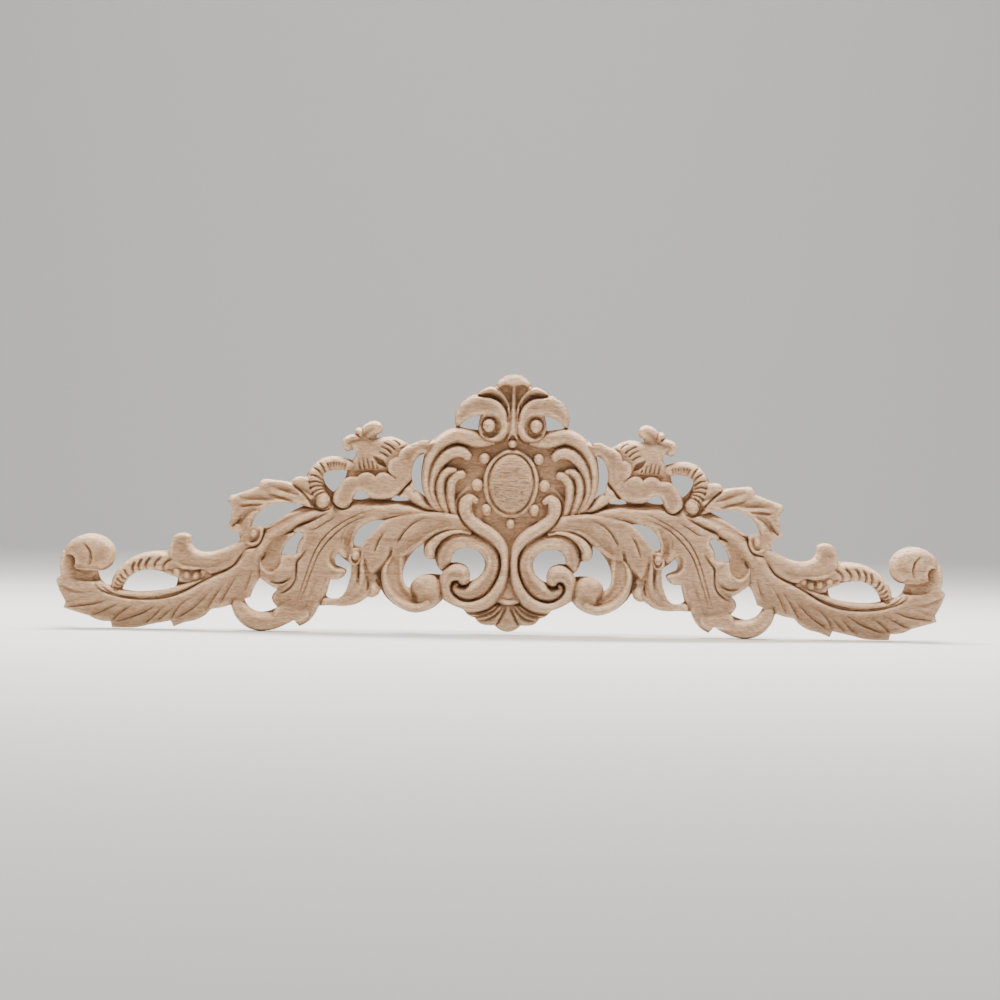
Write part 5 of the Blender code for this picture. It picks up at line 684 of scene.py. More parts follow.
def upper_leaf(r):
    """The leaf that reaches out over the branch, in three lobes."""
    first_lobe = [(124, -12), (134, 2), (137, 2.8), (141, 3.4), (144.6, 1.6)]
    second_lobe = [(146.3, -1.3, 0), (151, 0), (158, 0.8), (165.5, 0.7)]
    third_lobe = [(168.4, -4.2, 0), (175, -6.7), (182, -9), (187, -10.6), (188.6, -13.5)]
    tips = [(185, -18.6, 0), (186.4, -23.5), (186.2, -27.2, 0), (188.2, -31.8), (185.6, -34.6),
            (181.4, -35)]
    inner_side = [(178.6, -44), (170, -44), (172.4, -31), (169, -23), (161, -17), (150, -15.2),
                  (138, -16.4), (126, -20)]
    r.plate(first_lobe + second_lobe + third_lobe + tips + inner_side,
            [(128, -10, 12.5), (140, -3, 13.5), (155, -5, 14), (166, -4, 13.4), (172, -12, 13.6),
             (184, -16, 11.4), (178, -26, 12.4), (184, -32, 10), (175, -38, 12), (148, -13, 12.5)], 1.4,
            1.6)
    r.bevel((136, 2.8, 3, 3), (141, 3.3, 3.4, 4.4), (144.6, 1.6, 3, 4), (146.3, -1.3, 2, 3))
    r.bevel((147, -0.8, 3, 3.6), (151, 0, 4, 5), (158, 0.8, 4.4, 5.6), (165.5, 0.7, 4, 5),
            (168.4, -4, 2, 3))
    r.bevel((168.4, -4.4, 2.6, 3), (175, -6.7, 4, 5), (182, -9, 4, 5), (187, -10.6, 3.4, 4),
            (188.6, -13.5, 2, 3))
    r.scoop((133, -9, 2, 1), (140, -4.6, 3, 2), (144.6, -2, 2, 1))
    r.scoop((142, -9, 2, 1), (150, -5.6, 3.4, 2.2), (160, -3.6, 3, 1.2))
    r.scoop((158, -13, 2, 1), (168, -11.6, 3.4, 2.4), (179, -12.4, 3.4, 1.6))
    r.scoop((168, -19.6, 2, 1), (175, -22, 3.4, 2.6), (180, -29, 2.6, 1.6))
    r.vein((143, -15, 0.6), (149, -12.2, 2.4), (156, -10.4, 2.6), (163, -8, 1), left=1.2, right=3.4)
    r.vein((163, -16.4, 0.6), (170, -16.3, 2.4), (176, -16.7, 2.4), (181, -17.2, 1), left=1.2, right=3)
    r.vein((178.4, -24, 0.6), (181.4, -28.6, 2.2), (185.6, -32.4, 1.2), left=2.4, right=0.9)
    r.vein((130, -17.6, 1), (134, -12.4, 3), (139, -7.4, 3), (144.6, -2.6, 2.4), (146, -1.4, 1), left=1,
           right=2.4)
    r.sink((131, -14.6, 1.3, 8.4), (129, -17, 0.9, 9), wall=2)


def small_volute(r):
    """The small spiral with a bead, where the upper leaf meets the branch."""
    r.plate([(163.6, -32.6), (168.4, -30.8), (173.4, -31), (176, -35), (179, -39.6), (178.6, -42.4),
             (173.6, -45), (168.6, -44.6), (165.4, -41), (163.8, -36.6)],
            [(165.6, -36, 12.4), (168, -43, 13), (173, -43.4, 13.4), (177, -40.4, 12.6),
             (174.4, -34, 12.6), (168, -32.4, 12.6)], 1.4, 1.4)
    r.roll((165.2, -33.6, 1.6, 13), (165.6, -39, 1.7, 14), (168, -42.6, 1.7, 14.4),
           (172, -43.2, 1.8, 14.4), (175.6, -41.2, 2, 13.6), foot=8, blend=1)
    r.sink((167.7, -33.8, 0.3, 12.4), (167.5, -37.6, 0.5, 11.8), (168.6, -40.4, 0.6, 11.6),
           (171.4, -41, 0.4, 12.4), wall=3)
    r.dome(170.4, -36.4, 3.2, 3.6, 15.4, 9, power=0.45)
    r.vein((155.6, -30.6, 0.6), (160, -32.4, 2.2), (163.4, -34, 3), (164, -38.6, 3), (166.4, -43.4, 3),
           (170, -45.6, 3), (173.6, -46.2, 2.4), (176, -47.6, 1.4), left=0.9, right=1.2)


def knob_band(r):
    """The smooth band with a knob that starts the end of the branch."""
    top_edge = [(168, -44), (179, -40.6), (186, -44.4), (195, -47.9), (203, -48.9), (209, -47),
                (211.8, -42.6)]
    knob = [(212.2, -38), (217, -36), (222.6, -37.6), (226, -43.5), (226, -50), (226, -57)]
    low_edge = [(221.6, -58.8), (217, -60.6), (210, -61.4), (203.6, -60.6), (198, -63.6), (190, -61.4),
                (183.6, -57.8), (178, -51), (172, -46)]
    r.plate(top_edge + knob + low_edge,
            [(176, -45, 13.4), (182, -49.4, 15), (190, -54, 16), (200, -56.4, 16.8), (210, -56, 16.6),
             (218, -54, 15.6), (218, -46, 14.4), (218, -40.6, 16.4), (224, -50, 14.4), (196, -60, 14.4),
             (206, -60, 15.6), (186, -57, 14.6)], 1.2, 1.4)
    r.bevel((178, -41, 4, 4), (186, -44.4, 6, 6), (195, -47.9, 7.4, 7), (203, -48.9, 7.4, 7),
            (209, -47, 5, 6), (211.8, -43.6, 2, 4))
    r.bevel((211.8, -43, 1.6, 3), (212.2, -38, 2.4, 5), (217, -36, 4.6, 7), (222.6, -37.6, 4, 6),
            (226, -43.5, 1.8, 3), (226, -50, 1.2, 2))
    r.scoop((190, -55, 2, 0.3), (198, -57.6, 2.4, 0.7), (207, -58, 2.4, 1), (215, -57.6, 2.2, 0.8),
            (220, -56.4, 1.6, 0.3))


def ribs(r, rows, spots, reach, deep, skew, half=0.9, middle=0.0):
    """Crescent cuts across a band, at shares of its length. Rows are the band's own.

    A cut crosses at reach times the half width, bent along the band by skew times the square of its
    share of that width from middle.
    """
    points = 7
    path = spline(rows, 0.3)
    step = np.gradient(path[:, :2], axis=0)
    step /= np.hypot(*step.T)[:, None]
    across = np.stack([-step[:, 1], step[:, 0]], 1)
    for share in spots:
        k = int(share * (len(path) - 1))
        w = path[k, 2]
        q = np.linspace(*reach, points)[:, None]
        place = path[k, :2] + across[k] * w * q + step[k] * skew * (q - middle)**2
        size = np.tile((half, deep), (points, 1))
        r.groove(*np.column_stack([place, size]), sharp=0.8)


def horn(r):
    """The arched horn with beads at its root and ribs across it."""
    r.plate([(197, -66), (200, -61), (226, -57), (228, -64), (219.6, -66.6), (218.6, -69), (211, -70)],
            [(200, -64, 11.6), (204, -63, 11.4), (210, -66, 11.4), (222, -61, 11.6), (216, -70, 12.4)], 1,
            1)
    rows = [(212, -60.6, 3, 12), (220, -58, 5, 14), (229, -55.8, 6.7, 14.6), (238, -55.6, 6.4, 14.6),
            (246, -57.6, 6, 14.2), (253, -61.8, 5.6, 13.8), (258.6, -67.4, 4.8, 13.2),
            (261.4, -73.4, 3.4, 12.8), (261.6, -79.6, 2.2, 12)]
    r.roll(*rows, foot=5, section=section(0.9, 0.95, 0.98, 1, 0.95))
    for x, z, rx, rz, turn in ((203, -62.4, 2.7, 3.2, 20), (207.9, -65, 3, 3.9, 15),
                               (214, -64.4, 3.4, 3.7, 0), (220.6, -62.2, 3.4, 3.8, -20)):
        r.dome(x, z, rx, rz, 14.6, 8, turn=turn, power=0.45)
    ribs(r, rows[1:], (0.165, 0.275, 0.385, 0.485, 0.57), (-1.25, 0.38), 2.6, -5.4, 1.2, middle=-0.62)
    ribs(r, rows[1:], (0.65, 0.72, 0.785, 0.845, 0.9, 0.945), (-1, 0.35), 2.4, -2.4, 1, middle=-0.4)


def end_leaf(r):
    """The long toothed leaf along the lower edge at the end, with its rim."""
    upper_edge = [(164, -46), (174, -46.6), (183, -58), (200, -66.6), (214, -75), (232, -80),
                  (252, -80.6), (266, -76.6), (272, -70), (273.6, -60)]
    end_side = [(290, -56), (297.4, -66.6), (300.7, -69.8, 0), (299.4, -75), (296.8, -80.5),
                (294.8, -84.2, 0)]
    first_tip = [(296.3, -88.8, 0), (289, -91), (278.6, -94, 0), (272, -96.9), (264.6, -97.6, 0)]
    second_tip = [(263.4, -101.7, 0), (253, -101.8), (246, -101.3), (238, -99.3), (224.2, -96.4, 0)]
    third_tip = [(222.4, -100.6, 0), (215, -97.6), (207, -95.5), (201.5, -92.1), (198, -88.6),
                 (191, -87.1), (184.6, -85, 0)]
    near_side = [(182, -80), (178, -82.4), (172, -81), (168.4, -73), (165, -66), (165.2, -56)]
    inner_heights = [(170, -55, 13.6), (180, -66, 14), (195, -74, 14), (215, -82, 13.8), (240, -86, 13.8),
                     (262, -84, 13.8), (276, -78, 14), (284, -68, 14.4), (298, -72, 10)]
    edge_heights = [(292, -88, 9.4), (262, -98, 9), (240, -98, 9.4), (220, -97, 9.4), (200, -89, 10),
                    (186, -84, 10.4)]
    r.plate(upper_edge + end_side + first_tip + second_tip + third_tip + near_side,
            inner_heights + edge_heights, 1.4, 1.6)
    rim = [(198, -66, 1.2, 12), (207, -69.6, 2.2, 13.4), (215, -72.8, 2.6, 14), (224, -76, 2.8, 14.2),
           (236, -78.6, 2.6, 14.2), (247, -79, 2.4, 14.2), (257, -78, 2.2, 14), (263, -76.4, 2, 14),
           (268.4, -73.6, 1.9, 13.8), (272.6, -69.8, 1.7, 13.6), (274.8, -65.4, 1.3, 13)]
    r.roll(*rim, foot=5, section=section(0.84, 0.94, 1, 0.98, 0.94))
    r.vein((172, -47, 0.8), (178, -52, 2.4), (182, -57, 3), (189, -61.6, 3.2), (197, -65.4, 3.2),
           (207, -71, 3), (217, -76.7, 3), (229, -80.4, 3), (243, -81.4, 2.8), (257, -80.1, 2.8),
           (267, -77.4, 2.8), (273.4, -73, 2.6), (276, -66, 1.6), left=1, right=2)
    # Each cut between two teeth: its reach to the left of its run, and its rows x, z, depth.
    between_teeth = (
        (2.4, (170, -60, 0.4), (172.6, -68, 1.3), (176, -78, 0.9)),
        (3.4, (180, -64, 0.4), (186, -74, 1.4), (191.8, -85.6, 1.2)),
        (3.4, (188, -69, 0.4), (195.6, -80, 1.6), (201.6, -91, 1.2)),
        (3.6, (196, -73, 0.4), (205.6, -84, 1.7), (213, -89.8, 1.7), (221, -94.6, 0.9)),
        (3, (210, -79, 0.4), (218.6, -86, 1.6), (224, -95.6, 1.4)),
        (2.6, (219, -83.4, 0.3), (227, -91, 1.3), (234, -97.6, 0.7)),
        (2.6, (228, -85, 0.3), (235, -92.6, 1.3), (242, -98.6, 0.7)),
        (3.4, (232, -84, 0.4), (243, -91, 1.9), (252, -94.6, 1.9), (261, -97, 0.9)),
        (2.8, (248, -85, 0.4), (257.6, -91, 1.6), (263.6, -97, 1.4)),
        (3, (258, -84, 0.4), (269, -90, 1.7), (278, -94, 0.9)),
        (3, (264, -81, 0.4), (275, -85.4, 1.9), (286, -87, 1.6), (295, -88.2, 0.7)),
        (2.6, (274, -77, 0.3), (284, -77.4, 1.4), (296, -72.4, 1.0)),
        (2.4, (276, -79, 0.3), (286, -82, 1.3), (295, -84.6, 0.9)),
    )
    for fade, *line in between_teeth:
        r.vein(*line, left=fade, right=0.9)


def end_bulb(r):
    """The ball at the end, and the neck that it rolls out of."""
    r.dome(279, -50.6, 17.2, 12.7, 20.2, 6, power=0.42)
    r.sink((292.6, -56.6, 4, 11), (293.2, -60.4, 4.2, 10.4), (290.6, -64, 3.2, 10),
           (284, -66.2, 3.2, 9.8), (272, -66.4, 3.2, 9), wall=6)
    under_ball = [(272, -62.6), (276, -62), (284, -62), (288.4, -60.4), (288, -56), (290.8, -52.4),
                  (296, -50), (299, -58), (298.6, -66)]
    leaf_side = [(301.4, -70), (298, -84), (280, -86), (266, -80), (273, -74), (276.4, -69)]
    r.plate(under_ball + leaf_side,
            [(292, -54.4, 13.2), (293.4, -60, 14), (287, -65, 11.6), (280, -65, 11), (292, -67, 14.4),
             (281, -71, 13.6), (290, -75, 14.4), (272, -77, 13.4), (297, -78, 11), (292, -83, 10),
             (280, -85, 10.6), (268, -81, 11.6)], 3, 3, blend=2)
    r.vein((280, -77.6, 0.3), (288, -76.6, 1.4), (294.6, -74, 1.4), (300, -71, 0.6), left=1, right=2.4)
    r.vein((284, -44.2, 0.6), (280.8, -45.8, 1.4), (278, -49, 2.2), (277, -54, 2), (278, -58, 1.4),
           (280, -60, 0.5), left=2.4, right=0.9)


def calyx(r):
    """The flower beside the cartouche: its petals, its folded collar and its neck."""
    r.roll((48, -18.6, 1.4, 10.5), (54.4, -16.6, 2.8, 12.6), (60.4, -12.8, 4, 14), (66.4, -8, 4.2, 14),
           (70, -4.6, 4.6, 13.6), foot=5)
    r.plate([(64, -4.6), (66, 1.8), (70, 0), (76.4, -8.6), (75, -10), (68, -11.4)],
            [(68, -4, 13), (74, -8, 11.4), (66, 0, 11.4)], 1.4, 1.6, blend=1)
    top_edge = [(68, 14), (68, 25.3, 0), (72.6, 28.2), (80, 31.2), (86, 31), (90.8, 30), (98, 33)]
    low_edge = [(104.4, 23), (104.4, 17.6), (106.4, 14.2), (108.4, 8), (109, 2), (96, -6), (78, -6),
                (68, 2)]
    r.plate(top_edge + low_edge,
            [(74, 19, 14), (77, 26, 15), (83, 28.4, 15), (88, 24, 16.4), (86, 18, 16), (94, 18, 17),
             (94, 12, 15.6), (100, 22, 15.5), (102, 14, 14.6), (94, 28, 14), (104, 8, 13), (84, 8, 14),
             (94, 7, 13.6)], 3, 4)
    r.bevel((68, 25.3, 3, 3), (72.6, 28.2, 4.6, 5), (80, 31, 5.6, 6), (86, 30.8, 5, 5),
            (91, 29.8, 2.4, 3))
    for a, b, c in (((74.2, 24), (77, 27), (80.8, 28.3)), ((77.3, 21.2), (81.2, 24.6), (86.6, 26.6)),
                    ((79.8, 18.8), (83.2, 22), (88, 24)), ((82.4, 16.8), (85.2, 19), (89.4, 20.6))):
        r.vein((*a, 1.5), (*b, 2.4), (*c, 0.5), left=1.8, right=0.9)
    r.sink((84, 10.6, 0.1, 12.4), (86.2, 12.8, 1, 11), (88.4, 14.4, 0.8, 11.2), (91, 16.6, 0.1, 13.4),
           wall=3)
    r.vein((82, 8.4, 0.6), (88, 7.4, 1.1), (95, 7.4, 1.1), (101, 7, 1), (106, 6, 0.5), left=1.6, right=1)
    for x, low, high in ((89.7, 9.4, 12.2), (92.5, 9.2, 14.2), (95.5, 9, 15.8), (98.5, 8.6, 15.8),
                         (101.4, 8.4, 14)):
        r.vein((x - 0.8, low - 0.6, 1.4), (x, (low + high) / 2, 1.9), (x + 0.9, high + 0.8, 0.3),
               left=1.2, right=0.8)
    inner_neck = [(65.4, 9), (64.6, 14), (62.6, 18.2), (60, 20.6), (57.4, 20), (55, 14)]
    hook_end = [(48, 18), (47, 25), (51, 28.6), (54.5, 29.4)]
    neck_top = [(60, 29.6), (64, 27.8), (68.4, 25.6), (72.4, 23), (75, 19.6)]
    first_curl = [(75.8, 16.6, 0), (78, 16.4), (80.8, 14.6), (82.2, 11.4), (81.8, 7.6), (79.6, 4.6)]
    middle_lobes = [(77.2, 2.8, 0), (80.4, 5), (84.6, 6.1), (88.2, 5.4), (90.5, 3.1, 0), (94, 5.6),
                    (98, 5.6), (100.8, 4.2)]
    tail = [(102, 2.7, 0), (106, 2.6), (109.6, 1.8), (112.2, -1), (114.8, -5), (117, -9.4), (117.4, -13),
            (115.4, -16.2), (111.6, -17.7)]
    belly = [(108, -16.6), (105.8, -13.2), (103.6, -8), (100.4, -6.2), (97, -7.4), (94, -10.2),
             (88, -11.5), (82, -10.9), (76.4, -9), (70.6, -3.4), (66.4, 2)]
    neck_heights = [(50, 24, 14), (55, 22, 14.6), (58, 25, 15.6), (64, 23.6, 15.6), (70, 20.4, 16),
                    (66.6, 14, 12.6), (70.6, 8, 15), (75, 14, 16.8), (79.4, 11.4, 17.6), (75, 3, 16.4),
                    (84, -3, 17.2)]
    leaf_heights = [(85, 3, 18), (96, 2.4, 17.8), (98, -3, 17), (106, -1, 17.4), (111, -6, 17),
                    (112, -13, 17.4), (107, -12, 14.6), (80, -8, 15), (90, -9, 15.6), (68, 0, 12),
                    (72, -3, 14)]
    r.plate(inner_neck + hook_end + neck_top + first_curl + middle_lobes + tail + belly,
            neck_heights + leaf_heights, 1.2, 1.4)
    r.bevel((51, 29, 3, 3), (55.5, 29.4, 4, 5), (60, 29.6, 5, 6), (64, 27.8, 5, 6), (68.4, 25.6, 4.4, 5),
            (72.4, 23, 3, 3))
    r.bevel((62.6, 18.2, 2, 1), (65, 13, 4.4, 3), (66, 8, 6, 4), (66.4, 2, 5, 4), (70.6, -3.6, 2.4, 3),
            (76.4, -9, 2.4, 3), (82, -10.9, 2.6, 3.4), (88, -11.5, 2.6, 3.4), (94, -10.2, 2, 3))
    r.vein((66.2, 2, 1.2), (70, -2.6, 2), (75.3, -8.4, 1.6), left=1, right=1.2)
    r.vein((105.6, -14.4, 1), (107.4, -17.4, 3), (111.4, -18.8, 3.4), (115, -17.4, 3.4),
           (117.4, -14.4, 3), left=0.8, right=1.2)


def crown(r):
    """The curled tips on top of the flower."""
    r.plate([(89, 26), (90.8, 31), (93, 34), (99, 34), (103, 30), (107, 27), (104, 21), (96, 20)],
            [(93, 29, 12.6), (98, 25, 14.4), (102, 27, 14)], 1, 1)
    r.roll((96.6, 30.8, 4.4, 13.4), (93.6, 34.4, 4.6, 15), (90.8, 36.8, 4, 16), foot=5, blend=2.2)
    r.roll((88.6, 37.6, 2.4, 16), (92, 38.4, 3, 17), (96, 37.2, 3, 16.6), (99.6, 34.4, 2.4, 15.6),
           (101.6, 31.6, 1.6, 14.6), foot=6, blend=2.2)
    r.roll((100.6, 32, 2.4, 14.6), (102.3, 34, 2.8, 16), foot=5, blend=2.2)
    r.roll((100.6, 26.6, 3.6, 13.6), (106, 26.8, 3.6, 14.6), (108.7, 25, 4, 15.4), foot=5, blend=2.2)
    r.roll((102.4, 30, 2, 15), (106.4, 29.6, 2.4, 16.4), (110, 27.6, 2.8, 16.6), (111, 24.4, 2.4, 15.6),
           foot=6, blend=2.2)
    r.vein((100.4, 36.2, 1.4), (99.4, 33.6, 1.6), (99.4, 31, 0.6), left=1, right=1)
    r.vein((104.9, 32, 1.4), (103, 31, 1.4), (101.6, 29.8, 0.6), left=1, right=1)


def ribbed_ring(r):
    """The ring beside the flower, with ribs across it and a bead at its foot."""
    rows = [(104, 10.2, 2.6, 13), (109.6, 11.3, 4.6, 14), (115, 12.3, 5, 14.6), (121, 11.9, 5.2, 14.6),
            (126.6, 8.8, 5.4, 14.8), (130.2, 3, 5.6, 14.8), (130.2, -3.6, 5.2, 14.8),
            (127.4, -9.6, 4.8, 14.6), (124.4, -13, 4.4, 14)]
    r.roll(*rows, foot=5, section=section(0.92, 0.97, 1, 0.97, 0.84))
    ribs(r, rows[:5], (0.3, 0.385, 0.47, 0.555, 0.64, 0.725, 0.8), (-1, 0.25), 1.9, 0, 0.95)
    ribs(r, rows, (0.47, 0.545, 0.62, 0.69, 0.755, 0.815, 0.87), (-0.95, 0.84), 2.7, 1.8, 1.1)
    r.sink((118.9, -9.4, 0.3, 8), (119.3, -13, 0.5, 7.6), (119.8, -17, 0.4, 9), wall=8)
    r.dome(125.1, -14, 4.9, 5.3, 17, 7, power=0.45)
    r.vein((118.6, -15.6, 2), (120.6, -18.8, 3), (125, -20, 3), (129.6, -18.8, 2.6), (134, -18.2, 2.6),
           (139, -17.4, 2.4), left=0.9, right=1)


def fan(r):
    """The pleated fan at the foot, with a small shell over it."""
    r.plate([(-8, -84), (8, -82), (20, -84), (29.8, -85, 0), (27, -88.8), (22, -91, 0), (18.5, -94.7),
             (13, -95.9), (8.8, -95.8, 0), (5.2, -98.8), (0, -100.4), (-8, -98)],
            [(0, -84, 12), (0, -96, 10.5), (12, -92, 10), (22, -88, 9), (28, -86, 8)], 2.6, 3)
    r.sink((10, -81, 0.8, 8), (15, -84.6, 1.2, 7.4), (21, -86.6, 1.4, 7), (27, -87, 1.2, 7), wall=1.8)
    r.vein((1.2, -81.6, 1), (3.4, -87, 2.2), (5.8, -92, 2.4), (8, -96, 2), left=0.9, right=2.4)
    r.vein((3, -81.4, 1), (7.4, -87.6, 2.2), (13, -91.4, 2.4), (20, -92.6, 1.6), left=0.9, right=2.4)
    r.vein((5, -80.6, 1), (10, -85.8, 2.2), (17, -89, 2.4), (25, -90, 1.4), left=0.9, right=2.2)
    r.plate([(-9, -68), (9, -68), (8.4, -76), (7, -79.6), (3.6, -81.2), (0, -81.7), (-3.6, -81.2),
             (-7, -79.6), (-8.4, -76)],
            [(0, -70, 10.4), (0, -75, 11.4), (0, -79.4, 13), (-6, -78, 12.6), (6, -78, 12.6)], 1.2, 1.6)
    r.vein((-5, -76.4, 0.5), (-2.6, -78, 1.4), (0, -78.4, 1.6), (2.6, -78, 1.4), (5, -76.4, 0.5),
           left=1.6, right=0.7)


def wing_rest(r):
    """The deep line between the branch and leaf below it."""
    r.vein((119, -20.4, 0.8), (125, -23.2, 2), (130, -26, 2.8), (136, -28.6, 3.2), (141, -30.4, 2.8),
           (144.4, -31.6, 1.2), left=1.6, right=1.2)


def half(r):
    """Every form of one half, the lowest first."""
    ground(r)
    fan(r)
    crest(r)
    under_leaf(r)
    stem(r)
    long_leaf(r)
    open_loop(r)
    cupped_leaf(r)
    wing_rest(r)
    upper_leaf(r)
    end_leaf(r)
    knob_band(r)
    small_volute(r)
    horn(r)
    end_bulb(r)
    inner_leaf(r)
    second_scroll(r)
    calyx(r)
    crown(r)
    ribbed_ring(r)
    cartouche(r)
    fingers(r)
    drop_lobe(r)
    s_scroll(r)
    volutes(r)
    cabochon(r)
    r.deepen(share=0.34, reach=2.6)
    return r


def full_relief(pitch):
    """Heights of both halves on one grid: x is stretched by each hand's own length, z is shared."""
    relief = half(Relief(*REACH, pitch))
    xs = np.concatenate([-relief.xs[:0:-1] * LEFT_SCALE, relief.xs * RIGHT_SCALE])
    height = np.concatenate([relief.top[:, :0:-1], relief.top], axis=1)
    return xs, relief.zs, height


def sawn_lines(step):
    """The outer edge and the piercings of both halves, as closed lines."""
    right = outline(OUTER, step, closed=False)
    left = right[-2:0:-1] * (-LEFT_SCALE, 1)
    lines = [np.concatenate([right * (RIGHT_SCALE, 1), left])]
    for rows in HOLES.values():
        ring = outline(rows, step)[:-1]
        lines.append(ring * (RIGHT_SCALE, 1))
        lines.append(ring[::-1] * (-LEFT_SCALE, 1))
    return lines


def snap(points, lines, at_once=256):
    """Each point moves to the closest place on the lines: the smallest distance to any stretch.

    About at_once points are worked out together.
    """
    starts = np.concatenate(lines)
    runs = np.concatenate([np.roll(line, -1, axis=0) for line in lines]) - starts
    size = np.maximum((runs**2).sum(1), 1e-12)
    moved = []
    for block in np.array_split(points, max(1, len(points) // at_once)):
        gap = block[:, None] - starts
        share = np.clip((gap * runs).sum(2) / size, 0, 1)
        feet = starts + share[..., None] * runs
        best = ((feet - block[:, None])**2).sum(2).argmin(1)
        moved.append(feet[np.arange(len(block)), best])
    return np.concatenate(moved)


def keep_cells(wood):
    """Drops cells that touch the rest of the wood only at a corner, until none does."""
    while True:
        a, b, c, d = wood[:-1, :-1], wood[:-1, 1:], wood[1:, :-1], wood[1:, 1:]
        pinch = (a & d & ~b & ~c) | (b & c & ~a & ~d)
        if not pinch.any():
            return wood
        wood = wood.copy()
        wood[:-1, :-1] &= ~(pinch & a)
        wood[:-1, 1:] &= ~(pinch & b)


def carved_mesh(name, xs, zs, height):
    """One closed skin. Front: y is minus the height over the grid of x and z. Back: the same grid
    at y = 0. Side: a strip of quads between the two, along every edge that only one cell has."""
    lines = sawn_lines(SAW_STEP)
    mid_x, mid_z = np.meshgrid((xs[1:] + xs[:-1]) / 2, (zs[1:] + zs[:-1]) / 2)
    wood = inside(lines[0], mid_x, mid_z)
    for line in lines[1:]:
        wood &= ~inside(line, mid_x, mid_z)
    wood = keep_cells(wood)
    wide = len(xs)
    row, column = np.nonzero(wood)
    corner = row * wide + column
    quads = np.stack([corner, corner + 1, corner + wide + 1, corner + wide], axis=1)
    used, quads = np.unique(quads, return_inverse=True)
    quads = quads.reshape(-1, 4)
    x, z = np.meshgrid(xs, zs)
    place = np.stack([x.ravel()[used], z.ravel()[used]], axis=1)
    out = height.ravel()[used]
    edges = np.concatenate([quads[:, [k, (k + 1) % 4]] for k in range(4)])
    code = edges.min(1) * len(used) + edges.max(1)
    _, first, count = np.unique(code, return_index=True, return_counts=True)
    rim = edges[first[count == 1]]
    on_rim = np.unique(rim)
    place[on_rim] = snap(place[on_rim], lines)
    place[:, 0] += place[:, 1] * LEAN
    front = np.stack([place[:, 0], -out, place[:, 1]], axis=1)
    back = front * (1, 0, 1)
    total = len(used)
    sides = np.stack([rim[:, 1], rim[:, 0], rim[:, 0] + total, rim[:, 1] + total], axis=1)
    faces = np.concatenate([quads, quads[:, ::-1] + total, sides])
    return mesh_from(name, np.concatenate([front, back]) * MM, faces)


def mesh_from(name, points, quads):
    """Puts whole arrays of points and four-cornered faces into a mesh object."""
    mesh = bpy.data.meshes.new(name)
    mesh.vertices.add(len(points))
    mesh.vertices.foreach_set("co", points.ravel())
    mesh.loops.add(quads.size)
    mesh.loops.foreach_set("vertex_index", quads.ravel().astype(np.int32))
    mesh.polygons.add(len(quads))
    mesh.polygons.foreach_set("loop_start", np.arange(0, quads.size, 4, dtype=np.int32))
    mesh.update(calc_edges=True)
    mesh.validate()
    made = bpy.data.objects.new(name, mesh)
    bpy.context.scene.collection.objects.link(made)
    return made


def thinned(board, triangles):
    """Merges the flattest faces first, down to the given number of triangles."""
    coarse = board.modifiers.new("coarser", "DECIMATE")
    coarse.ratio = min(1.0, triangles / sum(len(face.vertices) - 2 for face in board.data.polygons))
    graph = bpy.context.evaluated_depsgraph_get()
    mesh = bpy.data.meshes.new_from_object(board.evaluated_get(graph))
    board.modifiers.clear()
    old = board.data
    board.data = mesh
    bpy.data.meshes.remove(old)


def fit_in_box(mesh):
    """Scales the mesh about the origin, so that it stays inside the box of the parts from model.glb.

    Each axis takes the smallest of 1 and the box's side over the mesh's, and a side of the box that
    lies on the origin sets no limit.
    """
    co = np.empty(len(mesh.vertices) * 3, np.float32)
    mesh.vertices.foreach_get("co", co)
    co = co.reshape(-1, 3)
    low, high = np.array(CAD_BOX[0]), np.array(CAD_BOX[1])
    spare = np.minimum(np.where(high > 1e-4, high / np.maximum(co.max(0), 1e-6), np.inf),
                       np.where(low < -1e-4, low / np.minimum(co.min(0), -1e-6), np.inf))
    co *= np.minimum(spare, 1)
    co[:, 1] = np.minimum(co[:, 1], 0)
    mesh.vertices.foreach_set("co", co.ravel())
    return co


# Where shade is painted into the cuts, from how far each point lies below its surroundings.
SHADE_MAP_REACHES = {"narrow_painted_shade": (1.6, 3), "wide_painted_shade": (4.5, 7)}    # reach and full depth, mm
# The crest map says where a highlight is painted onto the crests.
CREST_REACH = 1.4                # how far round a crest is looked for, and the height that is full, mm
CREST_FROM = 0.1                 # height over its surroundings at which a crest starts, mm


def painted_light_maps(height, pitch):
    """Where the carving lies below or above its surroundings, each from 0 to 1: the hollows say where shade
    is painted into the cuts, the crest where a highlight is painted.

    A hollow is the running mean over its reach less the height, as a share of its full depth. A crest
    is the height less its mean over CREST_REACH and less CREST_FROM, as a share of CREST_REACH.
    """
    maps = {name: np.clip((blurred(height, reach / pitch) - height) / full, 0, 1)
            for name, (reach, full) in SHADE_MAP_REACHES.items()}
    stands = height - blurred(height, CREST_REACH / pitch) - CREST_FROM
    maps["crest"] = np.clip(stands / CREST_REACH, 0, 1)
    return maps


def read_grid(grid, xs, zs, x, z):
    """The grid's value at each point, mixed from its four neighbours."""
    i = np.clip(np.searchsorted(xs, x) - 1, 0, len(xs) - 2)
    k = np.clip(np.searchsorted(zs, z) - 1, 0, len(zs) - 2)
    u = np.clip((x - xs[i]) / (xs[i + 1] - xs[i]), 0, 1)
    v = np.clip((z - zs[k]) / (zs[k + 1] - zs[k]), 0, 1)
    return ((grid[k, i] * (1 - u) + grid[k, i + 1] * u) * (1 - v)
            + (grid[k + 1, i] * (1 - u) + grid[k + 1, i + 1] * u) * v)


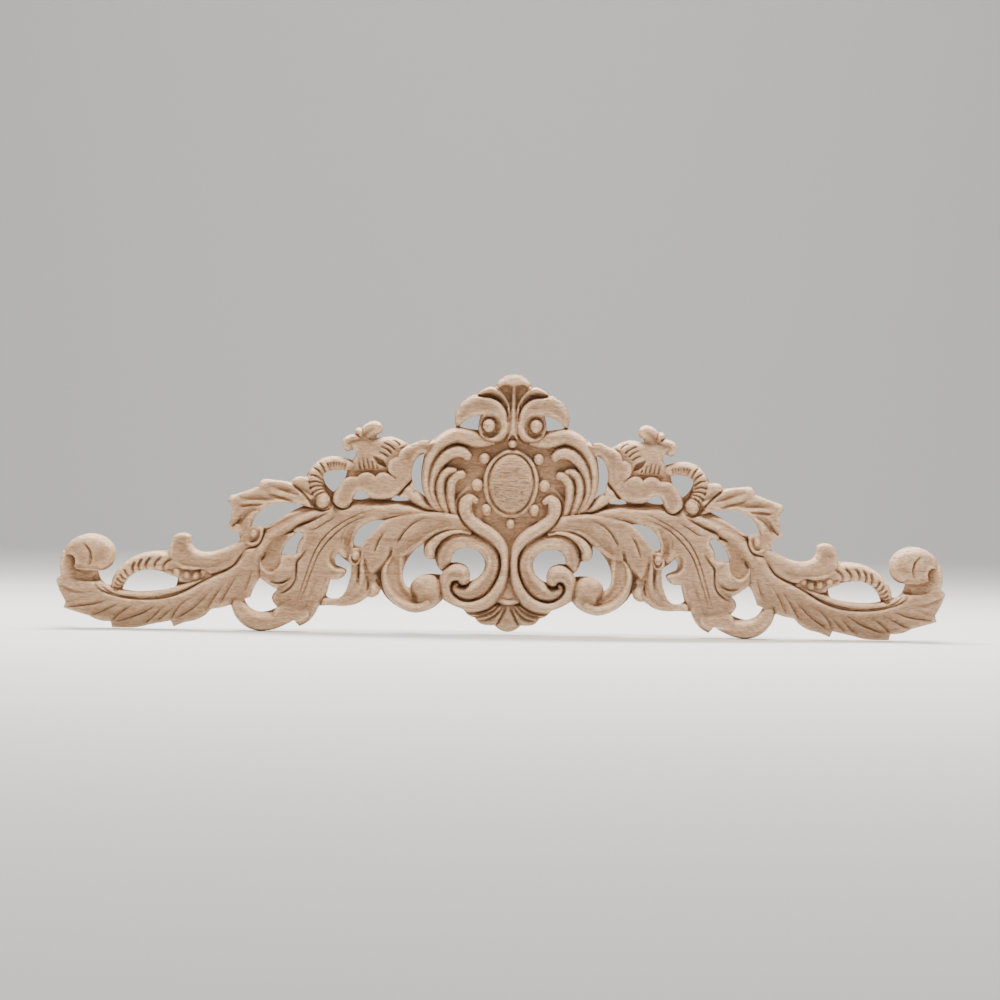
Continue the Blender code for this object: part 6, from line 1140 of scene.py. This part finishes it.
def torn_grain(x, z, out):
    """How rough the grain is: 1 on the cabochon's oval, 0.55 on the crest's broad horns, 0.35 on the
    stems beside the waist, 0.18 elsewhere, and 0 where the wood is less than 6 mm thick."""
    oval = np.clip(6 - 6 * np.hypot(x / 15, (z - 0.5) / 19.5), 0, 1)
    horns = np.clip((z - 38) / 6, 0, 1) * np.clip((np.abs(x) - 9) / 5, 0, 1)
    stems = 0.35 * (np.abs(z + 22) < 9) * (np.abs(x) > 40)
    return np.maximum(np.maximum(oval, 0.55 * horns), np.maximum(stems, 0.18)) * (out > 6)


def node(tree, kind, place, **sockets):
    """Adds a shader node and sets its plain inputs by name."""
    made = tree.nodes.new(kind)
    made.location = place
    for name, value in sockets.items():
        made.inputs[name.replace("_", " ")].default_value = value
    return made


def mix(tree, place, kind, factor, first, second):
    """Mixes two colours; each argument is an output socket or a plain value.

    On a Mix node socket 0 is the factor, 6 and 7 take the colours, and output 2 gives the result.
    """
    made = tree.nodes.new("ShaderNodeMix")
    made.data_type = "RGBA"
    made.blend_type = kind
    made.location = place
    for slot, value in ((0, factor), (6, first), (7, second)):
        if isinstance(value, bpy.types.NodeSocket):
            tree.links.new(value, made.inputs[slot])
        else:
            made.inputs[slot].default_value = value
    return made.outputs[2]


def spread(tree, place, source, low, high, to_low=0.0, to_high=1.0):
    """Stretches a value from low..high to to_low..to_high."""
    made = tree.nodes.new("ShaderNodeMapRange")
    made.location = place
    tree.links.new(source, made.inputs["Value"])
    made.inputs["From Min"].default_value = low
    made.inputs["From Max"].default_value = high
    made.inputs["To Min"].default_value = to_low
    made.inputs["To Max"].default_value = to_high
    return made.outputs["Result"]


def streaks(tree, place, coords, scale, detail, rough=0.55, warp=0.0, seed=(0, 0, 0)):
    """Noise drawn out along the board: few repeats along x, many up and across it."""
    turn = node(tree, "ShaderNodeMapping", (place[0] - 200, place[1]), Location=seed, Scale=scale)
    noise = node(tree, "ShaderNodeTexNoise", place, Scale=1.0, Detail=detail, Roughness=rough,
                 Distortion=warp)
    tree.links.new(coords, turn.inputs["Vector"])
    tree.links.new(turn.outputs["Vector"], noise.inputs["Vector"])
    return noise.outputs["Fac"]


def attribute(tree, place, name):
    """Reads one of the carving's own maps."""
    made = node(tree, "ShaderNodeAttribute", place)
    made.attribute_name = name
    return made.outputs["Fac"]


def times(tree, place, first, second):
    """The product of two values."""
    made = tree.nodes.new("ShaderNodeMath")
    made.operation = "MULTIPLY"
    made.location = place
    tree.links.new(first, made.inputs[0])
    tree.links.new(second, made.inputs[1])
    return made.outputs[0]


def bare_wood(colours):
    """Bare pale wood: cream to tan along the grain, with painted shade that browns the cuts and a painted
    highlight that pales the crests.

    The tone is a mix of two woods by broad noise, then darkened in turn by each layer's share.
    """
    material = bpy.data.materials.new("bare_wood")
    material.use_nodes = True
    tree = material.node_tree
    shader = tree.nodes["Principled BSDF"]
    shader.location = (1200, 0)
    shader.inputs["Roughness"].default_value = 0.6
    shader.inputs["Specular IOR Level"].default_value = 0.3
    coords = node(tree, "ShaderNodeTexCoord", (-1400, 0)).outputs["Object"]
    side = tree.nodes.new("ShaderNodeSeparateXYZ")
    side.location = (-1200, -300)
    tree.links.new(coords, side.inputs[0])
    left = spread(tree, (-900, -300), side.outputs["X"], 0.02, -0.05, 0.0, 0.5)
    broad = streaks(tree, (-900, 500), coords, (6, 30, 45), 3, warp=0.6)
    bands = streaks(tree, (-900, 250), coords, (9, 120, 260), 4, seed=(3, 1, 2), warp=0.3)
    pores = streaks(tree, (-900, 0), coords, (90, 1400, 1700), 2, rough=0.7, seed=(1, 5, 2))
    tears = streaks(tree, (-900, -1100), coords, (80, 560, 1200), 3, 0.65, 0.8, seed=(4, 9, 1))
    mottle = streaks(tree, (-900, -1400), coords, (260, 500, 900), 3, rough=0.65, seed=(8, 3, 5))
    joints = streaks(tree, (-900, -1700), coords, (1.5, 3, 190), 1, seed=(6, 2, 8))
    torn = times(tree, (-300, -1000), spread(tree, (-600, -1100), tears, 0.54, 0.66),
                 attribute(tree, (-900, -900), "torn_grain"))
    joint = times(tree, (-300, -1700), spread(tree, (-600, -1700), joints, 0.6, 0.66), left)
    # Painted shade: how far each point lies below its surroundings, over a narrow and a wide reach.
    narrow = attribute(tree, (-900, -500), "narrow_painted_shade")
    wide = attribute(tree, (-900, -700), "wide_painted_shade")
    crest = attribute(tree, (-900, -2000), "crest")
    grain = colours.grain
    banding = spread(tree, (-700, 500), broad, 0.35, 0.68)
    # Painted highlight: the crests are mixed towards a pale colour, as if light caught them.
    painted_highlight = spread(tree, (-600, -2000), crest, 0.0, 0.7, 0.0, colours.edge)
    tone = mix(tree, (-500, 400), "MIX", banding, (*colours.tan, 1), (*colours.pale, 1))
    tone = mix(tree, (-400, 380), "MIX", painted_highlight, tone, (*colours.crest_highlight, 1))
    layers = ((spread(tree, (-500, 200), bands, 0.52, 0.72, 0.0, 0.5 * grain), colours.streak),
              (spread(tree, (-500, 0), pores, 0.58, 0.72, 0.0, 0.75 * grain), colours.pore),
              (left, colours.left_tint),
              # Painted shade: both hollow maps darken the cuts towards the hollow colour.
              (spread(tree, (-500, -700), wide, 0.03, 0.7, 0.0, colours.cut), colours.hollow),
              (spread(tree, (-500, -500), narrow, 0.1, 0.9, 0.0, 0.4 * colours.cut), colours.hollow),
              (spread(tree, (-500, -1400), mottle, 0.4, 0.66, 0.0, grain), colours.mottle),
              (torn, colours.streak), (joint, colours.streak))
    for k, (share, colour) in enumerate(layers):
        tone = mix(tree, (-200 + 150 * k, 350 - 40 * k), "MULTIPLY", share, tone, (*colour, 1))
    tree.links.new(tone, shader.inputs["Base Color"])
    tool = streaks(tree, (-300, -700), coords, (300, 420, 620), 3, rough=0.6, seed=(7, 7, 7))
    fine = streaks(tree, (-300, -950), coords, (320, 1000, 1300), 2, rough=0.6, seed=(2, 2, 9))
    normal = None
    marks = ((tool, 1.0, 0.0014), (fine, 1.0, 0.0005), (torn, 0.8, 0.0008))
    for k, (height, strength, deep) in enumerate(marks):
        bump = node(tree, "ShaderNodeBump", (300 + 200 * k, -500), Strength=strength, Distance=deep)
        bump.invert = height is torn
        tree.links.new(height, bump.inputs["Height"])
        if normal:
            tree.links.new(normal, bump.inputs["Normal"])
        normal = bump.outputs["Normal"]
    tree.links.new(normal, shader.inputs["Normal"])
    return material


def plain_paint(name, colour, rough):
    """A plain matt finish for the stage."""
    material = bpy.data.materials.new(name)
    material.use_nodes = True
    shader = material.node_tree.nodes["Principled BSDF"]
    shader.inputs["Base Color"].default_value = (*colour, 1)
    shader.inputs["Roughness"].default_value = rough
    return material


def sweep_sheet(name, floor, near, far, radius, half_width, top):
    """The floor that curves up into a wall behind. Profile along y: flat, a quarter circle of the
    radius, then straight up; it is carried along x."""
    bend = np.linspace(0, np.pi / 2, 25)
    y = np.concatenate([[near], far + radius * np.sin(bend), [far + radius]])
    z = np.concatenate([[floor], floor + radius * (1 - np.cos(bend)), [top]])
    x = np.array([-half_width, half_width])
    grid = np.stack(np.broadcast_arrays(x[None, :], y[:, None], z[:, None]), axis=-1)
    first = (np.arange(len(y) - 1) * 2)[:, None]
    return mesh_from(name, grid.reshape(-1, 3), first + np.array([0, 1, 3, 2]))


# Each lamp: name, place, the point it looks at, width and height in metres, watts and colour.
LAMPS = (
    ("lamp_above", (0.1, -0.42, 1.35), (0, 0, 0), (0.6, 0.25), 43, (1.0, 0.955, 0.905)),
    ("lamp_front", (0.4, -2.4, 0.6), (0, 0, 0), (1.4, 1.4), 7, (1.0, 0.97, 0.94)),
    ("lamp_rim", (-0.1, 0.5, 1.1), (0, 0, 0), (1.4, 0.25), 60, (1.0, 0.97, 0.93)),
    ("lamp_wall", (0, 1.6, 2.6), (0, 3.6, 0.4), (3.0, 1.0), 90, (1.0, 1.0, 1.0)),
)
ROOM_COLOUR = (0.9, 0.92, 0.95, 1)
ROOM_LIGHT = 0.075               # strength of the light from all round
FILM = 36                        # width of the camera's film, mm


def soft_lamp(name, place, target, size, power, colour):
    """An oblong lamp that looks at the target."""
    data = bpy.data.lights.new(name, "AREA")
    data.shape = "RECTANGLE"
    data.size, data.size_y = size
    data.energy = power
    data.color = colour
    lamp = bpy.data.objects.new(name, data)
    lamp.location = place
    lamp.rotation_euler = (Vector(target) - Vector(place)).to_track_quat("-Z", "Y").to_euler()
    bpy.context.scene.collection.objects.link(lamp)
    return lamp


def colour(name, description, default):
    """A colour that the panel shows."""
    return bpy.props.FloatVectorProperty(name=name, description=description, default=default,
                                         subtype="COLOR", size=3, min=0, max=1)


def share(name, description, default):
    """A strength from 0 to 1 that the panel shows."""
    return bpy.props.FloatProperty(name=name, description=description, default=default,
                                   subtype="FACTOR", min=0, max=1)


def length(name, description, default):
    """A length that the panel shows."""
    return bpy.props.FloatProperty(name=name, description=description, default=default,
                                   unit="LENGTH", precision=5)


class CarvingSizes(bpy.types.PropertyGroup):
    """Sizes of the carved board."""
    grid: length("Surface grid", "Spacing of the points that the carving is worked out on", 0.0005)
    triangles: bpy.props.IntProperty(
        name="Triangles", description="How many triangles the finished carving keeps",
        default=196000, min=5000, max=199000)


class WoodColours(bpy.types.PropertyGroup):
    """Colours of the bare wood, with the painted shade of the cuts and the painted highlight of the crests.
    """
    pale: colour("Pale wood", "The lighter bands of the board", (0.59, 0.397, 0.256))
    tan: colour("Tan wood", "The darker bands of the board", (0.476, 0.302, 0.181))
    # Painted highlight: the pale colour laid on the crests and edges.
    crest_highlight: colour("Crests", "The palest wood, along the crests and edges", (0.95, 0.70, 0.475))
    streak: colour("Streaks", "Thin dark lines along the grain", (0.62, 0.50, 0.42))
    pore: colour("Pores", "Short fine pores", (0.66, 0.54, 0.46))
    mottle: colour("Mottling", "Small darker patches all over", (0.71, 0.62, 0.54))
    # Painted shade: the colour that the cuts are darkened towards, in place of the shade that falls in
    # them.
    hollow: colour("Deep cuts", "Tint of the wood down in the cuts", (0.74, 0.65, 0.58))
    left_tint: colour("Left boards", "The left half is a little yellower", (0.93, 0.905, 0.83))
    grain: share("Grain", "How strongly the grain shows", 0.95)
    # Painted shade: how far the cuts are darkened.
    cut: share("Cut shade", "How much darker the cuts are", 0.42)
    # Painted highlight: how far the crests are paled.
    edge: share("Crest shade", "How much paler the crests are", 0.6)


class StageSettings(bpy.types.PropertyGroup):
    """Floor, its paint, and the camera."""
    floor: length("Floor height", "Height of the floor, under the lowest leaves", CAD_BOX[0][2])
    paint: colour("Floor colour", "Pale matt paint of the floor and wall", (0.64, 0.635, 0.625))
    wide: length("View width", "Width that the camera takes in at the carving", 0.677)
    lens: bpy.props.FloatProperty(name="Lens", description="Focal length in millimetres", default=110.0)
    roll: bpy.props.FloatProperty(name="Roll", description="Turn of the camera about its own axis",
                                  default=0.01658, subtype="ANGLE")
    look_at: bpy.props.FloatVectorProperty(
        name="Middle of the view", description="Point in the middle of the picture",
        subtype="XYZ", size=3, default=(-0.0076, -0.010, -0.0108))


class APPLIQUE_OT_carve(bpy.types.Operator):
    """Carve the applique: its relief, its outline and its flat back, in bare wood"""
    bl_idname = "applique.carve"
    bl_label = "Carve the applique"

    def execute(self, context):
        sizes = context.scene.applique_sizes
        pitch = sizes.grid / MM
        xs, zs, height = full_relief(pitch)
        board = carved_mesh("carving", xs, zs, height)
        thinned(board, sizes.triangles)
        place = fit_in_box(board.data) / MM
        z = place[:, 2]
        x = place[:, 0] - z * LEAN
        on_front = place[:, 1] < -FRONT_FROM
        # Maps for the painted shade in the cuts and the painted highlight on the crests.
        for name, grid in painted_light_maps(height, pitch).items():
            layer = board.data.attributes.new(name, "FLOAT", "POINT")
            layer.data.foreach_set("value", (read_grid(grid, xs, zs, x, z) * on_front).astype(np.float32))
        layer = board.data.attributes.new("torn_grain", "FLOAT", "POINT")
        layer.data.foreach_set("value", torn_grain(x, z, -place[:, 1]).astype(np.float32))
        board.data.materials.clear()
        board.data.materials.append(bare_wood(context.scene.applique_colours))
        board.data.shade_smooth()
        board.data.set_sharp_from_angle(angle=np.radians(SHARP_ANGLE))
        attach(board, "root")
        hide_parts("carved_applique")
        return {"FINISHED"}


class APPLIQUE_OT_stage(bpy.types.Operator):
    """Set the pale floor and wall, the soft lamps and the camera"""
    bl_idname = "applique.stage"
    bl_label = "Set the stage"

    def execute(self, context):
        stage = context.scene.applique_stage
        sheet = sweep_sheet("floor_and_wall", stage.floor, near=-6.0, far=3.0, radius=1.2,
                            half_width=7.0, top=5.0)
        sheet.data.materials.append(plain_paint("pale_paint", stage.paint, rough=0.9))
        sheet.data.shade_smooth()
        for lamp in LAMPS:
            soft_lamp(*lamp)
        world = bpy.data.worlds.new("pale_room")
        world.use_nodes = True
        room = world.node_tree.nodes["Background"]
        room.inputs["Color"].default_value = ROOM_COLOUR
        room.inputs["Strength"].default_value = ROOM_LIGHT
        context.scene.world = world
        data = bpy.data.cameras.new("camera")
        data.lens = stage.lens
        data.sensor_width = FILM
        camera = bpy.data.objects.new("camera", data)
        bpy.context.scene.collection.objects.link(camera)
        middle = Vector(stage.look_at)
        camera.location = middle - Vector((0, stage.wide * stage.lens / FILM, 0))
        level = Matrix.Rotation(np.pi / 2, 4, "X")
        camera.rotation_euler = (level @ Matrix.Rotation(stage.roll, 4, "Z")).to_euler()
        context.scene.camera = camera
        return {"FINISHED"}


class APPLIQUE_PT_panel(bpy.types.Panel):
    """The applique's steps and settings"""
    bl_idname = "APPLIQUE_PT_panel"
    bl_label = "Carved applique"
    bl_space_type = "VIEW_3D"
    bl_region_type = "UI"
    bl_category = "Applique"

    def draw(self, context):
        scene = context.scene
        for group, step in ((scene.applique_sizes, None), (scene.applique_colours, "applique.carve"),
                            (scene.applique_stage, "applique.stage")):
            for name in group.__annotations__:
                self.layout.prop(group, name)
            if step:
                self.layout.operator(step)


CLASSES = (CarvingSizes, WoodColours, StageSettings, APPLIQUE_OT_carve, APPLIQUE_OT_stage,
           APPLIQUE_PT_panel)


def register():
    """Adds the classes, and their settings on the scene."""
    for made in CLASSES:
        bpy.utils.register_class(made)
    bpy.types.Scene.applique_sizes = bpy.props.PointerProperty(type=CarvingSizes)
    bpy.types.Scene.applique_colours = bpy.props.PointerProperty(type=WoodColours)
    bpy.types.Scene.applique_stage = bpy.props.PointerProperty(type=StageSettings)


def unregister():
    """Takes the settings and the classes away again."""
    del bpy.types.Scene.applique_sizes
    del bpy.types.Scene.applique_colours
    del bpy.types.Scene.applique_stage
    for made in reversed(CLASSES):
        bpy.utils.unregister_class(made)


def main():
    """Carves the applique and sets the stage."""
    register()
    bpy.ops.applique.carve()
    bpy.ops.applique.stage()


if __name__ == "__main__":
    main()
